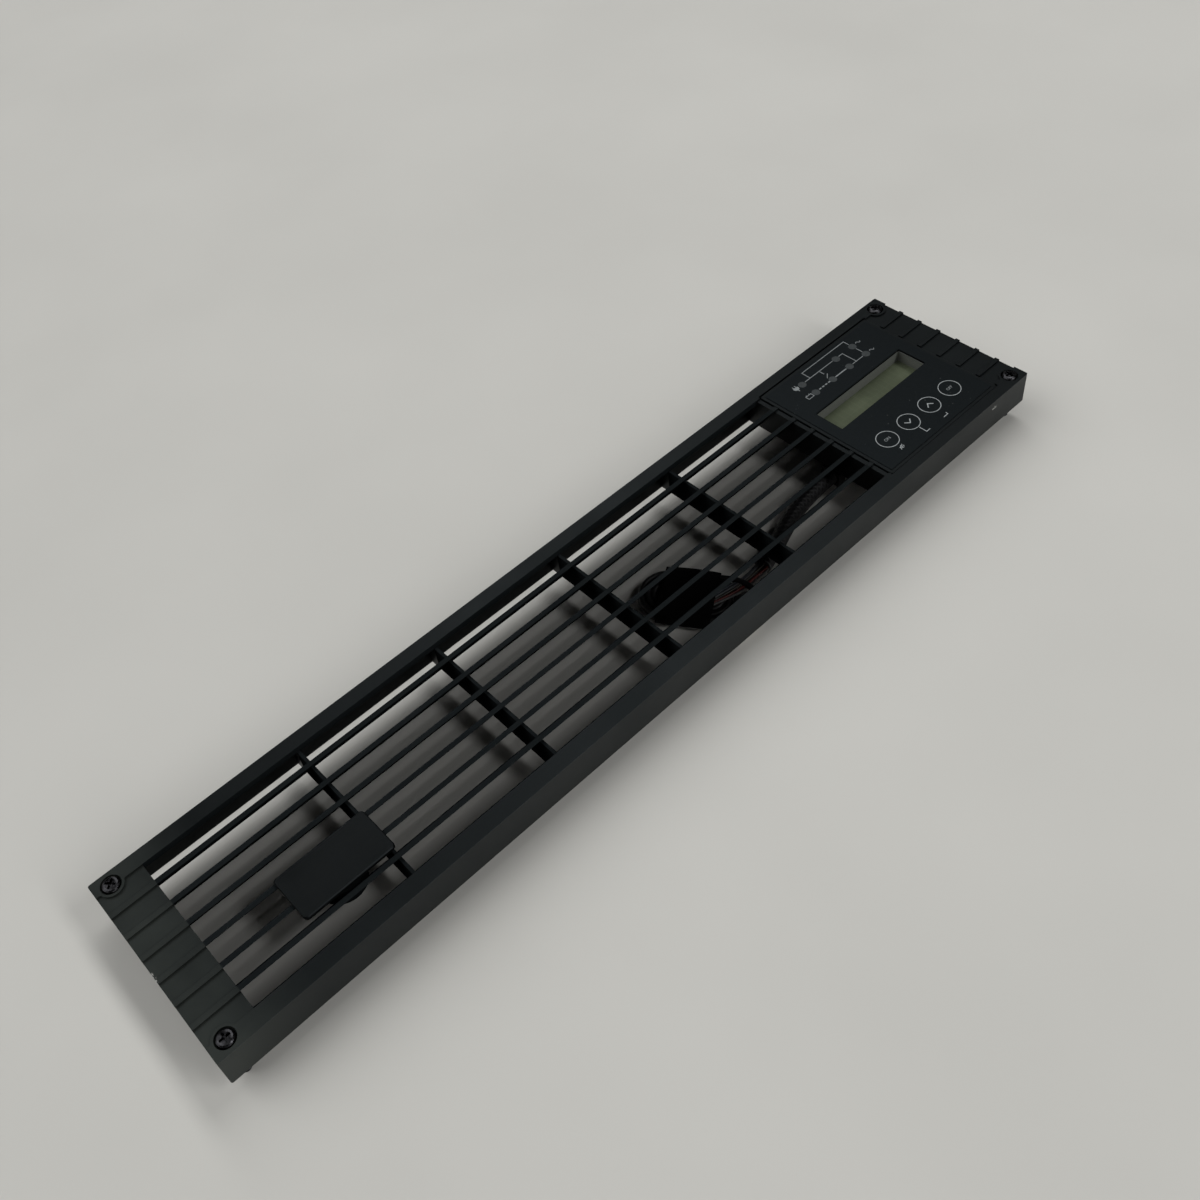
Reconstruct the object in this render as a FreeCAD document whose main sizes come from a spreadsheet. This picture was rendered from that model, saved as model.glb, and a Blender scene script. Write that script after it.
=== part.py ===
import FreeCAD, Part
import math
import os
import Sketcher

# Front bezel of a two-unit rack UPS, lying face up on its four corner screws.
# X runs along the length with the control module at +X, +Y is the upper edge
# when the unit is racked, and +Z is the front. Z zero is the table.

DIMENSIONS = (
    # bezel moulding
    ("bezel_length", 438.0),
    ("bezel_height", 88.0),
    ("bezel_depth", 16.0),
    ("outer_wall", 1.8),
    ("long_wall", 1.2),
    ("front_skin", 2.0),
    ("ridge_height", 0.9),
    ("top_rim", 6.6),
    ("bottom_rim", 7.2),
    ("end_panel", 18.5),
    ("module_panel", 15.3),
    ("corner_round", 0.8),
    # louvre blades and the ribs that carry them
    ("blade_count", 7),
    ("blade_pitch", 11.0),
    ("blade_width", 2.2),
    ("blade_depth", 14.0),
    ("blade_lean", 32.5),
    ("rib_count", 4),
    ("last_bay", 58.0),
    ("rib_thickness", 1.4),
    ("rib_setback", 0.5),
    ("rib_drop", 2.5),
    # corner screws
    ("screw_inset_x", 6.5),
    ("screw_inset_y", 5.5),
    ("screw_radius", 2.0),
    ("screw_reach", 8.5),
    ("screw_neck_radius", 1.55),
    ("screw_thread_gap", 0.2),
    ("screw_head_radius", 3.5),
    ("screw_head_height", 2.4),
    ("cross_length", 4.4),
    ("cross_width", 0.9),
    ("cross_depth", 1.4),
    ("head_recess", 1.6),
    ("head_clearance", 0.4),
    ("boss_radius", 4.9),
    ("hole_clearance", 0.3),
    ("retainer_radius", 3.4),
    ("retainer_thickness", 1.0),
    # turning badge
    ("badge_inset", 48.7),
    ("badge_y", -14.3),
    ("badge_length", 38.8),
    ("badge_height", 20.8),
    ("badge_thickness", 1.7),
    ("badge_round", 1.6),
    ("badge_edge", 0.4),
    ("badge_gap", 0.3),
    ("hub_radius", 9.5),
    ("hub_drop", 3.0),
    ("hub_thickness", 7.5),
    ("neck_radius", 5.2),
    ("pivot_radius", 3.0),
    ("pivot_clearance", 0.1),
    ("clip_radius", 5.6),
    ("clip_groove", 0.6),
    ("clip_thickness", 1.0),
    ("clip_gap", 0.3),
    ("pivot_tail", 0.8),
    # control module
    ("module_rim", 6.0),
    ("module_gap", 0.5),
    ("module_shift", 0.3),
    ("module_strip", 2.1),
    ("seat_depth", 3.5),
    ("seat_thickness", 1.8),
    ("seat_width", 1.8),
    ("module_lift", 0.3),
    ("flange_lip", 1.8),
    ("module_wall", 1.8),
    ("module_plate", 2.0),
    ("module_round", 0.8),
    ("cover_rise", 3.5),
    ("cover_thickness", 2.0),
    ("cover_lug", 2.5),
    ("lug_length", 12.0),
    ("fit_gap", 0.3),
    ("hook_width", 8.0),
    ("hook_spacing", 40.0),
    ("hook_reach", 1.4),
    ("hook_height", 2.0),
    # overlay film, window and display
    ("film_thickness", 0.3),
    ("film_inset", 1.6),
    ("window_length", 60.0),
    ("window_height", 15.4),
    ("window_drop", 17.2),
    ("lens_thickness", 1.0),
    ("lens_lap", 1.5),
    ("frame_wall", 1.4),
    ("frame_gap", 0.5),
    ("display_lap", 2.0),
    ("display_depth", 4.5),
    ("glass_thickness", 1.1),
    ("backlight_thickness", 2.8),
    ("board_thickness", 1.6),
    ("display_board_lap", 2.8),
    ("display_stand", 1.3),
    ("header_length", 40.6),
    ("header_width", 2.5),
    ("header_inset", 1.0),
    ("spacer_size", 3.6),
    ("spacer_inset", 2.2),
    # control board with lamps, switches and keys
    ("board_gap", 0.7),
    ("post_inset", 6.0),
    ("post_size", 5.2),
    ("board_screw_radius", 1.0),
    ("board_screw_head", 2.2),
    ("board_screw_cap", 1.6),
    ("board_screw_length", 7.0),
    ("lamp_pitch", 12.1),
    ("lamp_first", -18.7),
    ("lamp_margin", 9.0),
    ("lamp_row", 8.2),
    ("lamp_size", 3.0),
    ("lamp_height", 5.3),
    ("lamp_gap", 0.5),
    ("lamp_spacer", 3.8),
    ("key_pitch", 15.0),
    ("key_shift", 0.2),
    ("key_margin", 14.8),
    ("key_radius", 4.3),
    ("key_hole_gap", 0.5),
    ("key_lug", 1.1),
    ("key_lug_width", 5.0),
    ("key_lug_thickness", 1.0),
    ("key_film_gap", 0.3),
    ("key_travel", 0.3),
    ("key_over_travel", 0.1),
    ("stem_size", 3.2),
    ("switch_size", 6.0),
    ("switch_height", 3.5),
    ("switch_floor", 1.0),
    ("chip_size", 12.0),
    ("chip_height", 1.4),
    ("chip_x", 14.0),
    ("chip_y", -8.0),
    # wire harness
    ("socket_length", 7.0),
    ("socket_width", 10.0),
    ("socket_height", 3.0),
    ("socket_inset", 3.0),
    ("cable_y", -7.0),
    ("boot_length", 4.7),
    ("boot_lift", 0.6),
    ("cable_radius", 3.8),
    ("hank_back", 94.7),
    ("hank_y", -9.0),
    ("hank_turn", -57.0),
    ("hank_length", 44.0),
    ("hank_width", 26.0),
    ("hank_base", 1.2),
    ("hank_thickness", 6.8),
    ("hank_corner", 9.6),
    ("hank_edge", 2.4),
    ("tie_width", 24.0),
    ("tie_thickness", 0.8),
    ("tie_gap", 0.2),
    ("plug_length", 14.0),
    ("plug_width", 7.0),
    ("plug_height", 6.6),
    ("plug_base", 0.4),
    ("plug_shift", 5.0),
)

# Lengths closer than this are taken as equal.
NEAR = 1e-6

doc = FreeCAD.newDocument("ups_front_bezel")
sheet = doc.addObject("Spreadsheet::Sheet", "dims")
for row, (name, size) in enumerate(DIMENSIONS, 1):
    sheet.set("A%d" % row, name)
    sheet.set("B%d" % row, str(size))
    sheet.setAlias("B%d" % row, name)
doc.recompute()

# Levels and places that several pieces share, each worked out once.
SHARED = (
    ("rear_z", "screw_reach"),
    ("front_z", "rear_z + bezel_depth"),
    ("field_z", "front_z - ridge_height"),
    ("under_skin_z", "field_z - front_skin"),
    ("grille_left", "-bezel_length / 2 + end_panel"),
    ("box_length", "window_length + 2 * (display_lap + fit_gap + frame_wall + frame_gap + module_wall)"),
    ("module_length", "box_length + 2 * flange_lip"),
    ("module_height", "bezel_height - 2 * module_rim"),
    ("box_height", "module_height - 2 * flange_lip"),
    ("opening_length", "module_length + 2 * module_gap"),
    ("opening_height", "module_height + 2 * module_gap"),
    ("opening_x", "bezel_length / 2 - module_panel - opening_length / 2"),
    ("module_x", "opening_x + module_shift"),
    ("grille_right", "opening_x - opening_length / 2 - module_strip"),
    ("grille_top", "bezel_height / 2 - top_rim"),
    ("grille_bottom", "-bezel_height / 2 + bottom_rim"),
    ("blade_first", "(blade_count - 2) * blade_pitch / 2"),
    ("rib_pitch", "(grille_right - last_bay - grille_left) / rib_count"),
    ("rib_first", "grille_left + rib_pitch"),
    ("rib_rear_z", "rear_z + rib_setback"),
    ("screw_spacing_x", "bezel_length - 2 * screw_inset_x"),
    ("screw_spacing_y", "bezel_height - 2 * screw_inset_y"),
    ("badge_x", "grille_left + badge_inset"),
    ("screw_seat_z", "front_z - head_recess"),
    ("hub_top_z", "front_z - hub_drop"),
    ("hub_rear_z", "hub_top_z - hub_thickness"),
    ("badge_rear_z", "front_z + badge_gap"),
    ("clip_top_z", "hub_rear_z - clip_gap"),
    ("clip_rear_z", "clip_top_z - clip_thickness"),
    ("seat_z", "field_z - seat_depth"),
    ("module_front_z", "field_z + module_lift"),
    ("plate_rear_z", "module_front_z - module_plate"),
    ("cover_top_z", "cover_rise + cover_thickness"),
    ("lens_rear_z", "module_front_z - lens_thickness"),
    ("glass_top_z", "plate_rear_z - display_depth"),
    ("glass_rear_z", "glass_top_z - glass_thickness"),
    ("frame_rear_z", "glass_rear_z - backlight_thickness"),
    ("display_board_z", "frame_rear_z - board_thickness"),
    ("board_top_z", "display_board_z - display_stand"),
    ("board_rear_z", "board_top_z - board_thickness"),
    ("board_length", "box_length - 2 * (module_wall + board_gap)"),
    ("board_height", "box_height - 2 * (module_wall + board_gap)"),
    ("post_spacing_x", "box_length - 2 * post_inset"),
    ("post_spacing_y", "box_height - 2 * post_inset"),
    ("lamp_upper", "module_height / 2 - lamp_margin"),
    ("lamp_lower", "lamp_upper - lamp_row"),
    ("window_y", "lamp_lower - window_drop"),
    ("key_y", "key_margin - module_height / 2"),
    ("lamp_top_z", "module_front_z - lamp_gap"),
    ("lamp_base_z", "lamp_top_z - lamp_height"),
    ("switch_top_z", "board_top_z + switch_height"),
    ("key_top_z", "module_front_z - key_film_gap"),
    ("key_lug_z", "plate_rear_z - key_film_gap"),
    ("stem_end_z", "board_top_z + switch_floor + key_travel + key_over_travel"),
    ("socket_top_z", "board_rear_z"),
    ("socket_rear_z", "board_rear_z - socket_height"),
    ("boot_face_x", "module_x - box_length / 2 - fit_gap - boot_length"),
    ("cable_z", "boot_lift + cable_radius"),
    ("hank_x", "boot_face_x - hank_back"),
)
for row, (name, formula) in enumerate(SHARED, 1):
    sheet.set("D%d" % row, name)
    sheet.set("E%d" % row, "=" + formula)
    sheet.setAlias("E%d" % row, name)
doc.recompute()


def size(formula):
    """Number that a formula of sheet names gives."""
    return float(sheet.evalExpression(formula))


def bind(target, field, formula):
    """Tie a property to the sheet, with each sheet name written plainly in the formula."""
    words = []
    word = ""
    for letter in formula + " ":
        if letter.isalnum() or letter == "_":
            word += letter
            continue
        is_name = word and word[0].isalpha() and word not in ("tan", "sin", "cos", "deg")
        words.append("dims." + word if is_name else word)
        words.append(letter)
        word = ""
    target.setExpression(field, "".join(words).strip())


def new_body(label, x="0", y="0", turn=None):
    """Body for one piece, with its own origin over the point x, y of the table, turned about Z."""
    body = doc.addObject("PartDesign::Body", label)
    body.Label = label
    bind(body, "Placement.Base.x", x)
    bind(body, "Placement.Base.y", y)
    if turn:
        upright = FreeCAD.Rotation(FreeCAD.Vector(0, 0, 1), size(turn))
        body.Placement = FreeCAD.Placement(FreeCAD.Vector(), upright)
        bind(body, "Placement.Rotation.Angle", turn)
    return body


def new_sketch(body, role, offset):
    """Sketch on a plane of the body's origin, moved along the plane's normal."""
    plane = [item for item in body.Origin.OriginFeatures if item.Role == role][0]
    sketch = body.newObject("Sketcher::SketchObject", body.Name + "_sketch")
    sketch.AttachmentSupport = (plane, [""])
    sketch.MapMode = "FlatFace"
    bind(sketch, "AttachmentOffset.Base.z", offset)
    return sketch


def place_point(sketch, geometry, position, x, y):
    """Hold a point of a sketch at x, y from the sketch's origin."""
    for kind, formula in (("DistanceX", x), ("DistanceY", y)):
        hold = Sketcher.Constraint(kind, -1, 1, geometry, position, size(formula))
        index = sketch.addConstraint(hold)
        bind(sketch, "Constraints[%d]" % index, formula)


def add_polygon(sketch, points):
    """Closed outline through points, each given by two formulas."""
    first = sketch.GeometryCount
    corners = [FreeCAD.Vector(size(x), size(y), 0) for x, y in points]
    count = len(points)
    for index in range(count):
        sketch.addGeometry(Part.LineSegment(corners[index], corners[(index + 1) % count]), False)
    for index in range(count):
        following = first + (index + 1) % count
        sketch.addConstraint(Sketcher.Constraint("Coincident", first + index, 2, following, 1))
        place_point(sketch, first + index, 1, *points[index])


def add_rectangle(sketch, left, right, bottom, top):
    """Upright rectangle between four formulas."""
    add_polygon(sketch, ((left, bottom), (right, bottom), (right, top), (left, top)))


def add_centred(sketch, length, height, x="0", y="0"):
    """Rectangle of a length and height about a centre."""
    left = "%s - (%s) / 2" % (x, length)
    right = "%s + (%s) / 2" % (x, length)
    bottom = "%s - (%s) / 2" % (y, height)
    top = "%s + (%s) / 2" % (y, height)
    add_rectangle(sketch, left, right, bottom, top)


def add_circle(sketch, x, y, radius):
    """Circle about a centre."""
    centre = FreeCAD.Vector(size(x), size(y), 0)
    shape = Part.Circle(centre, FreeCAD.Vector(0, 0, 1), size(radius))
    geometry = sketch.addGeometry(shape, False)
    place_point(sketch, geometry, 3, x, y)
    index = sketch.addConstraint(Sketcher.Constraint("Radius", geometry, size(radius)))
    bind(sketch, "Constraints[%d]" % index, radius)


def add_pad(body, sketch, length):
    """Raise a sketch along its normal by a length."""
    pad = body.newObject("PartDesign::Pad", body.Name + "_pad")
    pad.Profile = sketch
    bind(pad, "Length", length)
    return pad


def add_pocket(body, sketch, length, forward=True):
    """Cut a sketch along its normal, or against it, by a length."""
    pocket = body.newObject("PartDesign::Pocket", body.Name + "_pocket")
    pocket.Profile = sketch
    bind(pocket, "Length", length)
    pocket.Reversed = forward
    return pocket


def slab(body, bottom, top, draw, role="XY_Plane"):
    """Pad what draw puts in a sketch, from one level to another."""
    sketch = new_sketch(body, role, bottom)
    draw(sketch)
    return add_pad(body, sketch, "%s - (%s)" % (top, bottom))


def cut(body, bottom, top, draw, role="XY_Plane"):
    """Pocket what draw puts in a sketch, from one level to another."""
    sketch = new_sketch(body, role, bottom)
    draw(sketch)
    return add_pocket(body, sketch, "%s - (%s)" % (top, bottom))


def pattern(body, feature, axis, length, count):
    """Repeat a feature along an axis of the body's origin."""
    doc.recompute()
    copies = body.newObject("PartDesign::LinearPattern", body.Name + "_pattern")
    copies.Originals = [feature]
    line = [item for item in body.Origin.OriginFeatures if item.Role == axis][0]
    copies.Direction = (line, [""])
    bind(copies, "Length", length)
    bind(copies, "Occurrences", count)
    body.Tip = copies
    doc.recompute()
    return copies


def upright_edges(feature, level, height):
    """Names of a feature's vertical edges of one height that end at a level."""
    names = []
    for index, edge in enumerate(feature.Shape.Edges, 1):
        box = edge.BoundBox
        upright = box.XLength < NEAR and box.YLength < NEAR and abs(box.ZLength - height) < NEAR
        if upright and abs(box.ZMax - level) < NEAR:
            names.append("Edge%d" % index)
    return names


def level_edges(feature, level):
    """Names of a feature's edges that lie flat at a level."""
    names = []
    for index, edge in enumerate(feature.Shape.Edges, 1):
        if edge.BoundBox.ZLength < NEAR and abs(edge.BoundBox.ZMax - level) < NEAR:
            names.append("Edge%d" % index)
    return names


def round_edges(body, feature, names, radius):
    """Fillet named edges of a feature."""
    fillet = body.newObject("PartDesign::Fillet", body.Name + "_fillet")
    fillet.Base = (feature, names)
    bind(fillet, "Radius", radius)
    doc.recompute()
    return fillet


def bevel_edges(body, feature, names, width):
    """Chamfer named edges of a feature."""
    chamfer = body.newObject("PartDesign::Chamfer", body.Name + "_chamfer")
    chamfer.Base = (feature, names)
    bind(chamfer, "Size", width)
    doc.recompute()
    return chamfer


def group(label, pattern_body, places):
    """Like pieces as one sub-part of separate solids, copied from a pattern piece."""
    doc.recompute()
    node = doc.addObject("Part::Feature", label)
    node.Label = label
    shifts = [FreeCAD.Vector(x, y, 0) for x, y in places]
    node.Shape = Part.makeCompound([pattern_body.Shape.translated(shift) for shift in shifts])
    return node


SUB_PARTS = []


def keep(node):
    """List a finished sub-part for writing."""
    SUB_PARTS.append(node)
    return node


CORNERS = (("-1", "-1"), ("-1", "1"), ("1", "-1"), ("1", "1"))


def at_corners(sketch, spacing_x, spacing_y, radius):
    """Circle at each corner of a centred rectangle."""
    for sign_x, sign_y in CORNERS:
        add_circle(sketch, "%s * %s / 2" % (sign_x, spacing_x), "%s * %s / 2" % (sign_y, spacing_y), radius)


def corner_places(spacing_x, spacing_y):
    """Corner points of a centred rectangle as numbers."""
    half_x = size(spacing_x) / 2
    half_y = size(spacing_y) / 2
    return [(int(sign_x) * half_x, int(sign_y) * half_y) for sign_x, sign_y in CORNERS]


def revolve(body, points):
    """Turn a profile of radius and height pairs about the body's Z axis."""
    sketch = new_sketch(body, "XZ_Plane", "0")
    add_polygon(sketch, points)
    turned = body.newObject("PartDesign::Revolution", body.Name + "_turned")
    turned.Profile = sketch
    turned.ReferenceAxis = (sketch, ["V_Axis"])
    turned.Angle = 360
    return turned


def make_bezel():
    """One-piece moulding: shell, rims, louvre blades, ribs, bosses, badge hub and module seat."""
    body = new_body("bezel")
    half_length = "bezel_length / 2"
    half_height = "bezel_height / 2"
    inner_top = "bezel_height / 2 - long_wall"
    blade_run = "blade_depth * tan(blade_lean * 1 deg)"
    bay_left = "opening_x - opening_length / 2"
    bay_right = "opening_x + opening_length / 2"

    slab(body, "rear_z", "field_z", lambda s: add_centred(s, "bezel_length", "bezel_height"))

    def draw_rims(sketch):
        add_rectangle(sketch, "-(%s)" % half_length, half_length, "grille_top", half_height)
        add_rectangle(sketch, "-(%s)" % half_length, half_length, "-(%s)" % half_height, "grille_bottom")

    rims = slab(body, "field_z", "front_z", draw_rims)
    doc.recompute()
    round_edges(body, rims, upright_edges(rims, size("front_z"), size("bezel_depth")), "corner_round")
    cut(body, "rear_z", "under_skin_z",
        lambda s: add_centred(s, "bezel_length - 2 * outer_wall", "bezel_height - 2 * long_wall"))
    cut(body, "under_skin_z", "field_z",
        lambda s: add_rectangle(s, "grille_left", "grille_right", "grille_bottom", "grille_top"))

    # Louvre blades lean back towards the upper edge. The last one backs the bottom rim.
    def draw_blade(sketch):
        low = "blade_first - blade_width / 2"
        high = "blade_first + blade_width / 2"
        rear = "front_z - blade_depth"
        add_polygon(sketch, (
            (low, "front_z"),
            (high, "front_z"),
            ("%s + %s" % (high, blade_run), rear),
            ("%s + %s" % (low, blade_run), rear),
        ))

    blade = slab(body, "grille_left - rib_thickness", "grille_right + rib_thickness",
                 draw_blade, "YZ_Plane")
    blades = pattern(body, blade, "Y_Axis", "(blade_count - 1) * blade_pitch", "blade_count")
    blades.Reversed = True

    # Ridges carry the blades' fronts on over both end panels and the strip beside the module.
    def draw_ridge(sketch):
        low = "blade_first - blade_width / 2"
        high = "blade_first + blade_width / 2"
        add_rectangle(sketch, "-(%s)" % half_length, "grille_left", low, high)
        add_rectangle(sketch, "grille_right", bay_left, low, high)
        add_rectangle(sketch, bay_right, half_length, low, high)

    ridge = slab(body, "field_z", "front_z", draw_ridge)
    ridges = pattern(body, ridge, "Y_Axis", "(blade_count - 2) * blade_pitch", "blade_count - 1")
    ridges.Reversed = True

    # Cross ribs behind the blades, and walls where the blades end.
    rib = slab(body, "rib_rear_z", "front_z - rib_drop", lambda s: add_rectangle(
        s, "rib_first - rib_thickness / 2", "rib_first + rib_thickness / 2",
        "-(%s)" % inner_top, inner_top))
    pattern(body, rib, "X_Axis", "(rib_count - 1) * rib_pitch", "rib_count")

    def draw_end_walls(sketch):
        add_rectangle(sketch, "grille_left - rib_thickness", "grille_left", "-(%s)" % inner_top, inner_top)
        add_rectangle(sketch, "grille_right", bay_left, "-(%s)" % inner_top, inner_top)
        add_rectangle(sketch, bay_right, bay_right + " + outer_wall", "-(%s)" % inner_top, inner_top)

    slab(body, "rib_rear_z", "under_skin_z", draw_end_walls)

    # Seat that the control module's flange rests on, and the opening in front of it.
    slab(body, "seat_z - seat_thickness", "seat_z", lambda s: add_rectangle(
        s, bay_left, bay_right, "-(%s)" % inner_top, inner_top))
    cut(body, "seat_z", "front_z",
        lambda s: add_centred(s, "opening_length", "opening_height", "opening_x"))
    cut(body, "seat_z - seat_thickness", "seat_z", lambda s: add_centred(
        s, "opening_length - 2 * seat_width", "opening_height - 2 * seat_width", "opening_x"))

    # Corner bosses with clearance holes, seats for the screw heads and rear recesses for the retainers.
    screws = ("screw_spacing_x", "screw_spacing_y")
    slab(body, "rear_z", "front_z", lambda s: at_corners(s, *screws, "boss_radius"))
    cut(body, "rear_z", "front_z", lambda s: at_corners(s, *screws, "screw_radius + hole_clearance"))
    cut(body, "screw_seat_z", "front_z",
        lambda s: at_corners(s, *screws, "screw_head_radius + head_clearance"))
    cut(body, "rear_z", "rear_z + retainer_thickness",
        lambda s: at_corners(s, *screws, "retainer_radius + hole_clearance"))

    # Round hub in the blades that the badge turns in.
    slab(body, "hub_rear_z", "hub_top_z", lambda s: add_circle(s, "badge_x", "badge_y", "hub_radius"))
    slab(body, "hub_top_z", "front_z", lambda s: add_circle(s, "badge_x", "badge_y", "neck_radius"))
    cut(body, "hub_rear_z", "front_z",
        lambda s: add_circle(s, "badge_x", "badge_y", "pivot_radius + pivot_clearance"))
    cut(body, "front_z - blade_depth", "hub_rear_z",
        lambda s: add_circle(s, "badge_x", "badge_y", "clip_radius + fit_gap"))
    return keep(body)


def make_corner_screws():
    """Four screws with waisted shanks and cross recesses, and the washers that keep them in the bosses."""
    screw = new_body("screw_pattern")
    top = "screw_seat_z + screw_head_height"
    revolve(screw, (
        ("0", "0"),
        ("screw_radius", "0"),
        ("screw_radius", "rear_z - screw_thread_gap"),
        ("screw_neck_radius", "rear_z - screw_thread_gap"),
        ("screw_neck_radius", "screw_seat_z"),
        ("screw_head_radius", "screw_seat_z"),
        ("screw_head_radius", "screw_seat_z + screw_head_height * 0.5"),
        ("screw_head_radius * 0.7", top),
        ("0", top),
    ))
    cut(screw, top + " - cross_depth", top, lambda s: add_centred(s, "cross_length", "cross_width"))
    cut(screw, top + " - cross_depth", top, lambda s: add_centred(s, "cross_width", "cross_length"))
    places = corner_places("screw_spacing_x", "screw_spacing_y")
    keep(group("corner_screws", screw, places))

    washer = new_body("retainer_pattern")

    def draw_washer(sketch):
        add_circle(sketch, "0", "0", "retainer_radius")
        add_circle(sketch, "0", "0", "screw_neck_radius")

    slab(washer, "rear_z", "rear_z + retainer_thickness", draw_washer)
    keep(group("screw_retainers", washer, places))


def make_badge():
    """Bare badge plate on a pivot, and the clip that holds the pivot in the hub."""
    badge = new_body("badge_plate", "badge_x", "badge_y")
    plate = slab(badge, "badge_rear_z", "badge_rear_z + badge_thickness",
                 lambda s: add_centred(s, "badge_length", "badge_height"))
    doc.recompute()
    top = size("badge_rear_z + badge_thickness")
    rounded = round_edges(badge, plate, upright_edges(plate, top, size("badge_thickness")), "badge_round")
    bevel_edges(badge, rounded, level_edges(rounded, top), "badge_edge")
    slab(badge, "clip_rear_z - pivot_tail", "badge_rear_z", lambda s: add_circle(s, "0", "0", "pivot_radius"))

    def draw_groove(sketch):
        add_circle(sketch, "0", "0", "pivot_radius + pivot_clearance")
        add_circle(sketch, "0", "0", "pivot_radius - clip_groove")

    cut(badge, "clip_rear_z", "clip_top_z", draw_groove)
    keep(badge)

    clip = new_body("badge_clip", "badge_x", "badge_y")

    def draw_clip(sketch):
        add_circle(sketch, "0", "0", "clip_radius")
        add_circle(sketch, "0", "0", "pivot_radius - clip_groove")

    slab(clip, "clip_rear_z", "clip_top_z", draw_clip)
    keep(clip)


LAMP_CELLS = ((0, "lamp_upper"), (0, "lamp_lower"), (1, "lamp_lower"), (2, "lamp_upper"), (2, "lamp_lower"),
              (3, "lamp_upper"), (3, "lamp_lower"))
KEY_NAMES = ("on_key", "down_key", "up_key", "off_key")


def lamp_x(column):
    return "lamp_first + %d * lamp_pitch" % column


def key_x(index):
    return "key_shift + (%d - 1.5) * key_pitch" % index


def make_module_housing():
    """Snap-in housing: flange, box, window, lamp and key holes, board posts and hooks."""
    body = new_body("module_housing", "module_x")
    flange = slab(body, "seat_z", "module_front_z",
                  lambda s: add_centred(s, "module_length", "module_height"))
    doc.recompute()
    flange_height = size("module_front_z - seat_z")
    round_edges(body, flange, upright_edges(flange, size("module_front_z"), flange_height), "module_round")
    slab(body, "cover_top_z", "seat_z", lambda s: add_centred(s, "box_length", "box_height"))
    cut(body, "cover_top_z", "plate_rear_z",
        lambda s: add_centred(s, "box_length - 2 * module_wall", "box_height - 2 * module_wall"))
    cut(body, "lens_rear_z", "module_front_z", lambda s: add_centred(
        s, "window_length + 2 * lens_lap", "window_height + 2 * lens_lap", "0", "window_y"))
    cut(body, "plate_rear_z", "lens_rear_z", lambda s: add_centred(
        s, "window_length", "window_height", "0", "window_y"))

    def draw_holes(sketch):
        lamp_hole = "lamp_size + 2 * fit_gap"
        for column, level in LAMP_CELLS:
            add_centred(sketch, lamp_hole, lamp_hole, lamp_x(column), level)
        for index in range(len(KEY_NAMES)):
            add_circle(sketch, key_x(index), "key_y", "key_radius + key_hole_gap")

    cut(body, "plate_rear_z", "module_front_z", draw_holes)

    def draw_posts(sketch):
        for sign_x, sign_y in CORNERS:
            add_centred(sketch, "post_size", "post_size",
                        sign_x + " * post_spacing_x / 2", sign_y + " * post_spacing_y / 2")

    slab(body, "board_top_z", "plate_rear_z", draw_posts)
    cut(body, "board_top_z", "plate_rear_z - board_thickness",
        lambda s: at_corners(s, "post_spacing_x", "post_spacing_y", "board_screw_radius"))

    # Hooks catch under the bezel's seat; their slope lets them pass on the way in.
    def draw_hooks(sketch):
        top = "seat_z - seat_thickness - fit_gap"
        for sign in ("-1", "1"):
            root = "%s * box_length / 2" % sign
            tip = "%s * (box_length / 2 + hook_reach)" % sign
            add_polygon(sketch, ((root, top), (tip, top), (root, top + " - hook_height")))

    for side in ("-1", "1"):
        middle = "%s * hook_spacing / 2" % side
        slab(body, middle + " - hook_width / 2", middle + " + hook_width / 2", draw_hooks, "XZ_Plane")

    # Slot in the left wall for the harness plug.
    cut(body, "cover_top_z", "socket_top_z + fit_gap", lambda s: add_rectangle(
        s, "-box_length / 2", "-box_length / 2 + module_wall",
        "cable_y - socket_width / 2 - fit_gap", "cable_y + socket_width / 2 + fit_gap"))
    return keep(body)


def make_module_cover():
    """Rear cover with lugs that press inside the housing walls."""
    body = new_body("module_cover", "module_x")
    plate = slab(body, "cover_rise", "cover_top_z", lambda s: add_centred(s, "box_length", "box_height"))
    doc.recompute()
    corners = upright_edges(plate, size("cover_top_z"), size("cover_thickness"))
    round_edges(body, plate, corners, "module_round")
    reach = "box_height / 2 - module_wall - fit_gap"

    def draw_lugs(sketch):
        for sign_x, sign_y in CORNERS:
            middle = "%s * hook_spacing / 2" % sign_x
            outer = "%s * (%s)" % (sign_y, reach)
            inside = "%s * (%s - module_wall)" % (sign_y, reach)
            add_rectangle(sketch, middle + " - lug_length / 2", middle + " + lug_length / 2", inside, outer)

    slab(body, "cover_top_z", "cover_top_z + cover_lug", draw_lugs)
    return keep(body)


def make_plate(label, bottom, top, draw):
    """Flat piece of the control module between two levels."""
    body = new_body(label, "module_x")
    slab(body, bottom, top, draw)
    return keep(body)


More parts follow.
